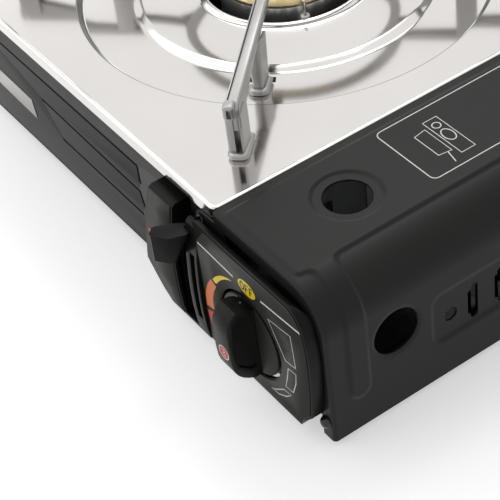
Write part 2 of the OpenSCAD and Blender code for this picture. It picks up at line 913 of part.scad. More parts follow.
module lever_faceplate() {
    color([0.32, 0.32, 0.32])
        stand()
            difference() {
                intersection() {
                    along_x(-50, slot_w[0] - 1.2)
                        lever_side(-face_t);
                    along_y(-13, -1)
                        polygon([[-42.9, -11.6], [-45.9, -24.1], [-47.8, -44.1], [-50, -56.2], [-43, -66],
                                 [-36.4, -74.8], [slot_w[0] - 1.2, -74.8], [slot_w[0] - 1.2, -11.6]]);
                }
                along_x(-53, -5)
                    lever_side(0);
            }
}

// Raised pad below the knob that carries the ignition mark.
module ignition_pad() {
    r = 6.5;
    color([0.06, 0.06, 0.06])
        stand()
            translate([10, -face_out, base_z + r + 1.7])
                rotate([90, 0, 0])
                    rotate_extrude()
                        polygon([[0, 0], [r, 0], [r - 0.6, 1.6], [r - 2, 2.6], [0, 3]]);
}

module panel_screws() {
    color([0.75, 0.75, 0.75])
        stand()
            for (p = panel_screw_at) {
                rod_y(screw_r, p.x, p.y, -face_out + face_t + 3, wall_y0 + sheet);
                rod_y(screw_head_r, p.x, p.y, wall_y0 + sheet, wall_y0 + sheet + 1.8);
            }
}

// ---- Knob ----

hub_r = 7;
hub_y = 2.4;

// Side view of the grip: Y forward at the left, Z up.
module grip_side() {
    f = -face_out;
    g = -face_out - grip_h;
    polygon([[f + 0.7, -28.4], [f - 2, -25.6], [f - 4.2, -24.3], [f - 8.6, -23.7], [f - 10.4, -24.6],
             [f - 12, -26.7], [f - 13.4, -29.4], [g + 0.2, -32.3], [g, -36], [g, -46.6], [g + 0.6, -53],
             [g + 1.5, -56.4], [g + 2.9, -59], [g + 5, -61.4], [g + 7.5, -63.3], [f - 3.6, -65.2],
             [f + 0.7, -65.2]]);
}

module knob() {
    color([0.05, 0.05, 0.05])
        stand()
            difference() {
                union() {
                    rod_y(dial_r, knob_x, knob_z, -face_out + face_t, -face_out + 3, $fn = 96);
                    rod_y(hub_r, knob_x, knob_z, -face_out + 2, hub_y);
                    difference() {
                        along_x(knob_x - grip_w / 2, knob_x + grip_w / 2)
                            grip_side();
                        for (s = [-1, 1])
                            translate([knob_x + s * grip_w / 2, 0, 0])
                                along_x(-1, 1)
                                    polygon([[-19, -31.5], [-20, -46], [-18.6, -54], [-13, -59], [-10, -59],
                                             [-10, -30], [-15, -27.6]]);
                    }
                }
                rod_y(spindle_r + fit, knob_x, knob_z, -face_out + 1, hub_y + 1);
            }
}

module dial_plate() {
    r = dial_r - 0.3;
    half = grip_w / 2 + 0.2;
    color([0.32, 0.32, 0.32])
        stand()
            difference() {
                rod_y(r, knob_x, knob_z, -face_out, -face_out + face_t, $fn = 96);
                span([knob_x - half, -face_out - 1, knob_z - r - 1],
                     [knob_x + half, -face_out + 1, knob_z + r + 1]);
            }
}

module valve_spindle() {
    color([0.75, 0.62, 0.35])
        stand()
            rod_y(spindle_r, knob_x, knob_z, -face_out + 1.2, cap_y + 9.6);
}

// Spiral cam that presses the igniter as the knob turns.
module knob_cam() {
    rise = [for (a = [-15:5:165]) let(r = cam_r + cam_lift * a / knob_turn) [r * cos(a), -r * sin(a)]];
    fall = [for (a = [190:25:315]) let(r = cam_r + cam_lift * (1 - (a - 165) / 180)) [r * cos(a), -r * sin(a)]];
    color([0.85, 0.83, 0.78])
        stand()
            difference() {
                along_y(cam_y, cam_y + cam_t)
                    translate([knob_x, knob_z])
                        polygon(concat(rise, fall));
                rod_y(spindle_r + fit, knob_x, knob_z, cam_y - 1, cam_y + cam_t + 1);
            }
}

// ---- Lock lever ----

arm_t = 3;
cap_clear = 47.8;

// Side view of the lever arm: Y forward at the left, Z up.
module arm_side() {
    stroke([pivot_y, pivot_z], [-12, -23], 9);
    stroke([pivot_y, pivot_z], [crank_y, crank_z], 7);
    translate([pivot_y, pivot_z])
        circle(r = 6.5);
}

module lock_lever() {
    color([0.66, 0.66, 0.66])
        stand()
            difference() {
                union() {
                    along_x(arm_x - arm_t / 2, arm_x + arm_t / 2)
                        arm_side();
                    rod_x(4, pivot_y, pivot_z, arm_x - 3.5, arm_x + 3.5);
                    rod_x(crank_pin_r, crank_y, crank_z, arm_x, -9);
                }
                rod_x(lever_pin_r + fit, pivot_y, pivot_z, arm_x - 5, arm_x + 5);
            }
}

module lever_cap() {
    color([0.05, 0.05, 0.05])
        stand()
            difference() {
                translate([0, 0, -29.5])
                    linear_extrude(14.5)
                        polygon([[-13.6, -17.6], [-12.6, -16.6], [-9.9, -9.6], [-10, -8], [-11.2, -6.8],
                                 [-15.4, -5.2], [-17.4, -6], [-20.3, -10.1], [-23.6, -16.6],
                                 [-23.6, -18.4], [-21.2, -21.2], [-19.4, -21.5]]);
                difference() {
                    span([slot_w[1] - 0.6, -25, -31], [0, 0, -14]);
                    span([-30, front_y, -80], [0, pivot_y - cap_clear, 0]);
                    difference() {
                        span([-30, -40, -80], [0, 60, 20]);
                        rod_x(cap_clear, pivot_y, pivot_z, -31, 1, $fn = 144);
                    }
                }
                span([arm_x - arm_t / 2 - fit, -17, -31], [arm_x + arm_t / 2 + fit, 0, -16.6]);
            }
}

module lever_pin() {
    color([0.75, 0.75, 0.75])
        stand() {
            rod_x(lever_pin_r, pivot_y, pivot_z, cheeks[0] - 1, cheeks[1] + 2);
            rod_x(lever_pin_r + 1.4, pivot_y, pivot_z, cheeks[0] - 2.2, cheeks[0] - 0.8);
        }
}

cheeks = [-28.6, -6.4];
cheek_y = [24, 42];

module lever_bracket() {
    color([0.6, 0.6, 0.6])
        stand()
            difference() {
                union() {
                    span([cheeks[0] - steel, cheek_y[0], floor_z], [cheeks[1] + steel, cheek_y[1], floor_z + steel]);
                    for (x = cheeks)
                        span([x - steel / 2, cheek_y[0], floor_z], [x + steel / 2, cheek_y[1], pivot_z + 7]);
                }
                rod_x(lever_pin_r + fit, pivot_y, pivot_z, cheeks[0] - 2, cheeks[1] + 2);
            }
}

fork_y = can_y + 6;
fork_x = 66;

// Sliding carriage: side plate with both slots and a fork round the cartridge's collar.
module carriage() {
    x0 = -13.4;
    play = lever_pin_r + slot_play;
    color([0.62, 0.62, 0.62])
        stand()
            difference() {
                union() {
                    span([x0, 22, pivot_z - 7], [x0 + 1.5, fork_y + 1.5, crank_z + 5]);
                    span([x0, fork_y, pivot_z - 7], [fork_x, fork_y + 1.5, pivot_z + 17]);
                    rod_y(24, can_x, can_z, fork_y, fork_y + 1.5);
                }
                for (y = [pivot_y, pivot_y + carriage_go])
                    rod_x(play, y, pivot_z, x0 - 1, x0 + 3);
                span([x0 - 1, pivot_y, pivot_z - play], [x0 + 3, pivot_y + carriage_go, pivot_z + play]);
                for (z = [crank_z, pivot_z + crank_r])
                    rod_x(crank_pin_r + slot_play, crank_y, z, x0 - 1, x0 + 3);
                rod_y(16, can_x, can_z, fork_y - 1, fork_y + 3);
                span([can_x - 16, fork_y - 1, can_z], [can_x + 16, fork_y + 3, can_z + 30]);
                span([-20, fork_y - 1, floor_z - 20], [80, fork_y + 3, floor_z + 3]);
            }
}

// ---- Bay fittings ----

cradle_half = cartridge_r - 6;
cradle_y = [can_y + 21, can_y + cartridge_l - 13];
saddle_w = 12;
saddle_y = [cradle_y[0] + 14, cradle_y[1] - 18];

// Sheet under the cartridge with two hollow saddles pressed up from it.
module cartridge_cradle() {
    x0 = can_x - cradle_half;
    x1 = can_x + cradle_half;
    color([0.6, 0.6, 0.6])
        stand()
            difference() {
                union() {
                    span([x0, cradle_y[0], floor_z], [x1, cradle_y[1], floor_z + sheet]);
                    for (y = saddle_y)
                        span([x0, y, floor_z], [x1, y + saddle_w, floor_z + saddle_w]);
                }
                rod_y(cartridge_r + gap, can_x, can_z, cradle_y[0] - 1, cradle_y[1] + 1, $fn = 96);
                for (y = saddle_y)
                    span([x0 + steel, y + steel, floor_z + sheet],
                         [x1 - steel, y + saddle_w - steel, floor_z + saddle_w + 1]);
                span([can_x - 15, saddle_y[0] + saddle_w + 18, base_z], [can_x + 15, saddle_y[1] - 6, 0]);
            }
}

heat_x = part_x + sheet;
heat_half = 50;
heat_z = [-62, -24];

// Plate that carries the burner's heat to the cartridge, with a tongue through the partition.
module heat_plate() {
    tongue_y = [vent_from + vent_pitch + 2, vent_from + vent_pitch + 20];
    color([0.75, 0.75, 0.76])
        stand() {
            span([heat_x, mid_y - heat_half, heat_z[0]], [heat_x + 1, mid_y + heat_half, heat_z[1]]);
            span([part_x - 20, tongue_y[0], -20], [heat_x + 1, tongue_y[1], -19]);
            span([heat_x, tongue_y[0], heat_z[1] - eps], [heat_x + 1, tongue_y[1], -19]);
        }
}

// ---- Cover ----

cover_x0 = 1;
cover_end = base_z + 2 * hem_r + 0.4;
cover_y = [-end_out, pan_d + end_out];
panel_x = [5, 57];
rib_y = [8.5, 20];
rib_z = -62;
side_y = [53, pan_d - 14];
side_z = [-59.5, -31];

// X-Z outline of the cover, taken in by t.
module cover_outline(t) {
    r = shoulder_r - t;
    translate([bay_w - shoulder_r, crown - shoulder_r])
        intersection() {
            circle(r = r, $fn = 96);
            square(r);
        }
    translate([cover_x0, cover_end])
        square([bay_w - t - cover_x0, crown - shoulder_r - cover_end]);
    translate([cover_x0, crown - shoulder_r - eps])
        square([bay_w - shoulder_r - cover_x0, r + eps]);
}

module cover_layer(t0, t1, y0, y1) {
    along_y(y0, y1)
        difference() {
            cover_outline(t0);
            translate([-eps * 2, -eps * 2])
                cover_outline(t1);
        }
}

// Volume of the raised panel and of its rib down the side.
module raised_zone(i) {
    r = (rib_y[1] - rib_y[0]) / 2 - i;
    span([panel_x[0] + i, cover_y[0] + 2.6 + i, crown - 3], [panel_x[1] - i, cover_y[1] - 2.6 - i, crown + 3]);
    span([panel_x[1] - 3, rib_y[0] + i, rib_z + r + i], [bay_w + 3, rib_y[1] - i, crown + 3]);
    rod_x(r, (rib_y[0] + rib_y[1]) / 2, rib_z + r + i, bay_w - 6, bay_w + 3);
}

// Rounded side panel that holds the vent slots.
module side_zone(i, x0, x1) {
    r = 6 - i;
    y = [side_y[0] + i, side_y[1] - i];
    z = [side_z[0] + i, side_z[1] - i];
    span([x0, y[0] + r, z[0]], [x1, y[1] - r, z[1]]);
    span([x0, y[0], z[0] + r], [x1, y[1], z[1] - r]);
    for (a = [y[0] + r, y[1] - r])
        for (b = [z[0] + r, z[1] - r])
            rod_x(r, a, b, x0, x1);
}

// Hinge ear with its bar, as an X-Z outline.
module ear_outline() {
    translate([hinge_x, hinge_z])
        circle(r = ear_r);
    translate([hinge_x, hinge_z - ear_r])
        square([-hinge_x + rim_w, 2 * ear_r]);
    translate([cover_x0, hinge_z - ear_r])
        square([rim_w, crown - hinge_z + ear_r - 1]);
}

module cover() {
    t = cover_sheet;
    e = emboss_h;
    color([0.15, 0.15, 0.15])
        stand()
            difference() {
                union() {
                    cover_layer(0, t, cover_y[0], cover_y[1]);
                    intersection() {
                        cover_layer(-e, 0.5, cover_y[0], cover_y[1]);
                        raised_zone(0);
                    }
                    side_zone(-1, bay_w - 1.9, bay_w - 0.9);
                    for (y = [cover_y[0], cover_y[1] - t])
                        along_y(y, y + t) {
                            difference() {
                                cover_outline(0);
                                translate([0, crown - shoulder_r - 1])
                                    square([bay_w - shoulder_r, shoulder_r + 1 - rim_w]);
                                translate([0, cover_end - 1])
                                    square([bay_w - rim_w, crown - shoulder_r - cover_end + 1]);
                                translate([bay_w - shoulder_r, crown - shoulder_r])
                                    circle(r = shoulder_r - rim_w, $fn = 96);
                            }
                            ear_outline();
                        }
                }
                difference() {
                    intersection() {
                        cover_layer(t - e, t + 0.6, cover_y[0] + 3, cover_y[1] - 3);
                        raised_zone(t);
                    }
                    rod_z(peep_r + 5.5, knob_x + 1.5, peep_y, -5, 5, $fn = 64);
                }
                side_zone(0, bay_w - 0.9, bay_w + 1);
                for (y = [cover_y[0] - 1, pan_d])
                    rod_y(hinge_pin_r + fit, hinge_x, hinge_z, y, y + 4);
                rod_z(peep_r, knob_x + 1.5, peep_y, -5, 5, $fn = 64);
                rod_z(peep_r + 4.5, knob_x + 1.5, peep_y, crown, 5, $fn = 64);
                rod_x(port_r, port_y, -port_down, bay_w - 8, bay_w + 2, $fn = 64);
                rod_x(3.5, 63.6, -46.9, bay_w - 8, bay_w + 2);
                for (k = [0:vent_count - 1])
                    translate([0, 76.6 + 15 * k, 0]) {
                        span([bay_w - 8, -vent_w / 2, -47 - vent_h / 2 + 2],
                             [bay_w + 2, vent_w / 2, -47 + vent_h / 2 - 2]);
                        for (s = [-1, 1])
                            rod_x(vent_w / 2, 0, -47 + s * (vent_h / 2 - 2), bay_w - 8, bay_w + 2);
                    }
            }
}

// Domed catch at the foot of the cover's front rim.
module cover_catch() {
    color([0.8, 0.8, 0.8])
        stand()
            translate([bay_w - 4.4, cover_y[0], cover_end + 3])
                rotate([90, 0, 0])
                    rotate_extrude($fn = 32)
                        polygon([[0, 0], [3, 0], [2.9, 1], [2.3, 2], [1.3, 2.7], [0, 3]]);
}

module hinge_pins() {
    color([0.75, 0.75, 0.75])
        stand()
            for (s = [0, 1])
                translate([0, s * pan_d, 0])
                    mirror([0, s, 0]) {
                        rod_y(hinge_pin_r, hinge_x, hinge_z, -end_out - gap - 0.1, wall_y0 + sheet + 0.6);
                        rod_y(3, hinge_x, hinge_z, -head_out, -end_out - gap);
                        rod_y(2.8, hinge_x, hinge_z, gap - 0.2, wall_y0);
                        rod_y(2.8, hinge_x, hinge_z, wall_y0 + sheet, wall_y0 + sheet + 1.2);
                    }
}

body_shell();
base_plate();
partition_wall();
drip_pan();
pan_support();
burner_body();
burner_cap();
mixing_tube();
burner_bracket();
gas_nozzle();
gas_pipe();
regulator_body();
regulator_cap();
regulator_screws();
cartridge_seat();
seat_gasket();
igniter_body();
igniter_plunger();
igniter_bracket();
spark_lead();
electrode_insulator();
electrode_rod();
electrode_clip();
control_panel();
knob_faceplate();
lever_faceplate();
ignition_pad();
panel_screws();
knob();
dial_plate();
valve_spindle();
knob_cam();
lock_lever();
lever_cap();
lever_pin();
lever_bracket();
carriage();
cartridge_cradle();
heat_plate();
cover();
cover_catch();
hinge_pins();
feet();
base_screws();
trim_strip();
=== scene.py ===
"""Dresses the butane cassette stove: its finishes, its sheet-metal forms and its panel print."""

import json
import logging
import math
from collections.abc import Iterable, Sequence
from dataclasses import dataclass
from enum import Enum

import bmesh
import bpy
from mathutils import Matrix, Vector

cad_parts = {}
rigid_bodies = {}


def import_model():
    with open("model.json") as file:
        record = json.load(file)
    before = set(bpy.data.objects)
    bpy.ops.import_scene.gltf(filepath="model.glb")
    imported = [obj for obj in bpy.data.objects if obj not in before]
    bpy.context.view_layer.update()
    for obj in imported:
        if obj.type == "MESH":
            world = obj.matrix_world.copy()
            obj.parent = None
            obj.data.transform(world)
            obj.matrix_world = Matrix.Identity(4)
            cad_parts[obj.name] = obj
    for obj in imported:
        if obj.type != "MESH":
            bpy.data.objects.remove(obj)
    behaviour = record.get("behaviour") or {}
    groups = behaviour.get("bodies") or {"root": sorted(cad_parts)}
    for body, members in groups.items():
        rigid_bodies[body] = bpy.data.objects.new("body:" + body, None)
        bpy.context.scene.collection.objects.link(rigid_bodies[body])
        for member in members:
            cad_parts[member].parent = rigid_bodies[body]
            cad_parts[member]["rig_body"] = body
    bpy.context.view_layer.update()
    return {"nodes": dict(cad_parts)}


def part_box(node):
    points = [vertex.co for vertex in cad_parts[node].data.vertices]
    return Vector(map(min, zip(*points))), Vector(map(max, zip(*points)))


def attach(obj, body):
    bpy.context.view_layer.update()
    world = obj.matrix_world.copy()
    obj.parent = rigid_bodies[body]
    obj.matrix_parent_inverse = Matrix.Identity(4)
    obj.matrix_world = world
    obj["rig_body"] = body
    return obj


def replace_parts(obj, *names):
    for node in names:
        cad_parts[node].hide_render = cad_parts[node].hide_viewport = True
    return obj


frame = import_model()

log = logging.getLogger("stove")

MM = 0.001
PAN_LOW, PAN_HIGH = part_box("drip_pan")
ORIGIN = Vector((PAN_HIGH.x, PAN_LOW.y, PAN_HIGH.z))
Point = Sequence[float]
Pair = tuple[float, float]
Plan = tuple[Pair, ...]
Triple = tuple[float, float, float]
Box = tuple[float, float, float, float]


class Slot(str, Enum):
    """The record's material slots."""

    BLACK_STEEL = "satin_black_steel"
    GALVANISED = "galvanised"
    STAINLESS = "stainless"
    SUPPORT = "support_steel"
    CAST = "cast_alloy"
    BRASS = "burner_brass"
    TUBE = "tube_steel"
    COPPER = "copper_line"
    SCREW = "screw_steel"
    RUBBER = "black_rubber"
    PLASTIC = "black_plastic"
    LABEL = "grey_label"
    PALE = "pale_plastic"
    LEAD = "lead_black"
    CERAMIC = "ceramic"
    ELECTRODE = "electrode_steel"
    STRIP = "strip_grey"


class Body(str, Enum):
    """The bodies of the mechanism."""

    CASE = "case"
    COVER = "cover"
    KNOB = "knob"
    IGNITER = "igniter"
    LEVER = "lever"
    CARRIAGE = "carriage"
    SUPPORT = "pan_support"


def linear(*levels: int) -> Triple:
    """Turns display levels of 0 to 255 into the shader's linear colour.

    Args:
        levels: Red, green and blue.

    Returns:
        The linear colour.
    """
    return tuple(
        share / 12.92 if share <= 0.04045 else ((share + 0.055) / 1.055) ** 2.4
        for share in (level / 255 for level in levels)
    )


def spaced(stops: Sequence[tuple[float, int]]) -> list[float]:
    """Returns places along a line.

    Args:
        stops: Ends of its stretches, each with the number of steps that lead to it.

    Returns:
        The places.
    """
    places = [stops[0][0]]
    for (start, _), (stop, steps) in zip(stops, stops[1:]):
        places += [start + (stop - start) * k / steps for k in range(1, steps + 1)]
    return places


def arc(centre: Point, radii: Point, start: float, stop: float, steps: int) -> list[Pair]:
    """Returns points of an arc; a full turn ends on its first point.

    Args:
        centre: Its centre.
        radii: Its two radii.
        start: First angle in degrees.
        stop: Last angle in degrees.
        steps: Number of steps.

    Returns:
        The points.
    """
    angles = [math.radians(start + (stop - start) * k / steps) for k in range(steps + 1)]
    points = [
        (centre[0] + radii[0] * math.cos(a), centre[1] + radii[1] * math.sin(a)) for a in angles
    ]
    return points[:-1] + points[:1] if stop - start == 360 else points


# ---- Shader nodes ----


class Value:
    """A socket of a material's tree, with arithmetic that adds Math nodes."""

    def __init__(self, nodes: "Nodes", socket: bpy.types.NodeSocket) -> None:
        """Wraps one output socket."""
        self.nodes = nodes
        self.socket = socket

    def math(self, operation: str, first: object, second: object) -> "Value":
        """Adds one Math node."""
        return self.nodes.add("Math", {0: first, 1: second}, {"operation": operation})

    def capped(self) -> "Value":
        """Value of 1 at most."""
        return self.math("MINIMUM", self, 1.0)

    def __add__(self, other: object) -> "Value":
        """Sum."""
        return self.math("ADD", self, other)

    __radd__ = __add__

    def __sub__(self, other: object) -> "Value":
        """Difference."""
        return self.math("SUBTRACT", self, other)

    def __rsub__(self, other: object) -> "Value":
        """Reflected difference."""
        return self.math("SUBTRACT", other, self)

    def __mul__(self, other: object) -> "Value":
        """Product."""
        return self.math("MULTIPLY", self, other)

    __rmul__ = __mul__


class Nodes:
    """The node tree of one material or of the world."""

    def __init__(self, tree: bpy.types.NodeTree) -> None:
        """Takes over an empty tree."""
        self.tree = tree
        self.tree.nodes.clear()

    def add(
        self,
        kind: str,
        inputs: dict[object, object] | None = None,
        settings: dict[str, object] | None = None,
        output: int | str = 0,
    ) -> Value:
        """Adds a node.

        Args:
            kind: The node's type after its prefix.
            inputs: Numbers, colours or links by socket.
            settings: Its properties.
            output: The output that is handed back.

        Returns:
            The chosen output.
        """
        node = self.tree.nodes.new("ShaderNode" + kind)
        for key, value in (settings or {}).items():
            setattr(node, key, value)
        for key, value in (inputs or {}).items():
            if isinstance(value, Value):
                self.tree.links.new(value.socket, node.inputs[key])
            else:
                node.inputs[key].default_value = value
        return Value(self, node.outputs[output] if len(node.outputs) else None)

    def noise(self, size: float, detail: float = 2.0, stretch: Point = (1, 1, 1)) -> Value:
        """Noise with features of about the given size.

        Args:
            size: Feature size in metres.
            detail: Number of finer octaves.
            stretch: Scale of the pattern along each axis.

        Returns:
            The noise level, from 0 to 1.
        """
        place = self.add("TexCoord", output="Object")
        place = self.add("Mapping", {"Vector": place, "Scale": stretch})
        return self.add(
            "TexNoise", {"Vector": place, "Scale": 1 / size, "Detail": detail, "Roughness": 0.55}
        )

    def blend(self, first: object, second: object, share: Value) -> Value:
        """Mixes two colours by a share from 0 to 1."""
        return self.add("Mix", {0: share, 6: first, 7: second}, {"data_type": "RGBA"}, 2)


# ---- Finishes ----


@dataclass(frozen=True)
class Finish:
    """A surface finish.

    Attributes:
        name: Name of the material.
        slot: The record's slot it belongs to.
        colour: Linear colour.
        roughness: Mean roughness.
        metallic: Share of metal.
        mottle: Share by which the colour varies.
        patch: Size of that variation in metres.
        sheen_change: Amount by which the roughness varies.
        grain: Size of the fine relief in metres.
        relief: Height of the fine relief in metres.
        stretch: Scale of the relief along each axis, uneven on brushed metal.
        coat: Weight of a clear coat.
        specular: Strength of the highlights on a surface that isn't metal.
    """

    name: str
    slot: Slot
    colour: Triple
    roughness: float
    metallic: float = 0.0
    mottle: float = 0.12
    patch: float = 0.012
    sheen_change: float = 0.06
    grain: float = 0.0006
    relief: float = 0.00001
    stretch: Triple = (1, 1, 1)
    coat: float = 0.0
    specular: float = 0.5

    def material(self) -> bpy.types.Material:
        """Makes the material at its first use.

        Returns:
            The material.
        """
        found = bpy.data.materials.get(self.name)
        if found:
            return found
        made = bpy.data.materials.new(self.name)
        made.use_nodes = True
        nodes = Nodes(made.node_tree)
        cloud = nodes.noise(self.patch, 3)
        fine = nodes.noise(self.grain, 1, self.stretch)
        darker = tuple(level * (1 - self.mottle) for level in self.colour)
        lighter = tuple(level * (1 + self.mottle) for level in self.colour)
        normal = nodes.add("Bump", {"Strength": 1.0, "Distance": self.relief, "Height": fine})
        shader = nodes.add(
            "BsdfPrincipled",
            {
                "Base Color": nodes.blend((*darker, 1), (*lighter, 1), cloud),
                "Roughness": self.roughness + self.sheen_change * (cloud + fine - 1.0),
                "Metallic": self.metallic,
                "Coat Weight": self.coat,
                "Specular IOR Level": self.specular,
                "Normal": normal,
            },
        )
        nodes.add("OutputMaterial", {"Surface": shader})
        return made


PAINT = Finish(
    "satin_black_paint", Slot.BLACK_STEEL, linear(38, 38, 37), 0.4, grain=0.0009, specular=0.16
)
STEEL = Finish(
    "polished_stainless", Slot.STAINLESS, (0.755, 0.732, 0.716), 0.12, 1.0, 0.045, 0.06, 0.03,
    0.0008, 0.0000012, (1, 0.06, 1),
)
# Darker steel for the recess's steep step: painted shade along that step, not a colour the steel
# has.
CREASE_SHADE = Finish(
    "painted_crease_shade", Slot.STAINLESS, (0.26, 0.255, 0.245), 0.3, 1.0, 0.03, 0.03, 0.03, 0.0008,
    0.000001,
)
SATIN = Finish(
    "satin_support_steel", Slot.SUPPORT, (0.38, 0.375, 0.365), 0.34, 0.75, 0.06, 0.008, 0.06,
    0.0005, 0.000008,
)
ZINC = Finish("galvanised_sheet", Slot.GALVANISED, (0.5, 0.51, 0.52), 0.38, 0.9, 0.12, 0.006, 0.12)
CAST = Finish(
    "cast_alloy", Slot.CAST, (0.52, 0.52, 0.51), 0.46, 0.9, 0.08, 0.006, 0.08, 0.0007, 0.00004
)
BRASS = Finish("burner_brass", Slot.BRASS, (0.62, 0.44, 0.2), 0.34, 1.0, 0.1, 0.008, 0.1)
TUBE = Finish("tube_steel", Slot.TUBE, (0.5, 0.5, 0.5), 0.32, 1.0)
COPPER = Finish("copper_tube", Slot.COPPER, (0.72, 0.36, 0.22), 0.28, 1.0)
SCREW = Finish("plated_screw", Slot.SCREW, (0.6, 0.6, 0.61), 0.3, 1.0, 0.05, 0.004)
DARK_SCREW = Finish("blackened_screw", Slot.SCREW, (0.03, 0.03, 0.03), 0.22, 0.3, 0.05, 0.004)
RUBBER = Finish("black_rubber", Slot.RUBBER, linear(28, 28, 28), 0.8, relief=0.00003, specular=0.3)
PLASTIC = Finish(
    "black_moulding", Slot.PLASTIC, linear(22, 22, 21), 0.36, grain=0.0005, specular=0.1
)
GRIP = Finish("black_grip", Slot.PLASTIC, linear(31, 31, 30), 0.36, grain=0.0005, specular=0.11)
FACE = Finish(
    "satin_face_label", Slot.LABEL, linear(48, 48, 45), 0.45, grain=0.0003, relief=0.000004,
    specular=0.15,
)
PALE = Finish("pale_moulding", Slot.PALE, linear(222, 216, 200), 0.4, mottle=0.03)
LEAD = Finish("lead_jacket", Slot.LEAD, linear(30, 30, 30), 0.5)
CERAMIC = Finish("white_ceramic", Slot.CERAMIC, linear(236, 234, 226), 0.22, mottle=0.02, coat=0.4)
ELECTRODE = Finish("electrode_wire", Slot.ELECTRODE, (0.6, 0.58, 0.55), 0.35, 1.0)
STRIP = Finish("strip_grey", Slot.STRIP, linear(176, 174, 171), 0.5, mottle=0.03)


def ink(name: str, colour: Triple) -> Finish:
    """Returns a printed ink of the given colour."""
    return Finish(name, Slot.LABEL, colour, 0.45, mottle=0.03, relief=0.000002)


WHITE_INK = ink("ink_white", linear(240, 240, 236))
YELLOW_INK = ink("ink_yellow", linear(255, 222, 30))
ORANGE_INK = ink("ink_orange", linear(240, 126, 62))
RED_INK = ink("ink_red", linear(214, 64, 54))
BLACK_INK = ink("ink_black", linear(24, 24, 24))
POINTER_INK = ink("ink_pointer", linear(140, 140, 137))


# ---- Meshes ----


def inside(point: Vector, loop: Sequence[Pair]) -> bool:
    """Tells whether a point lies inside a closed outline.

    Args:
        point: The point.
        loop: Corners of the outline.

    Returns:
        Whether it lies inside.
    """
    odd = False
    for (x0, y0), (x1, y1) in zip(loop, [*loop[1:], loop[0]]):
        if (y0 > point.y) != (y1 > point.y):
            odd ^= point.x < x0 + (point.y - y0) * (x1 - x0) / (y1 - y0)
    return odd


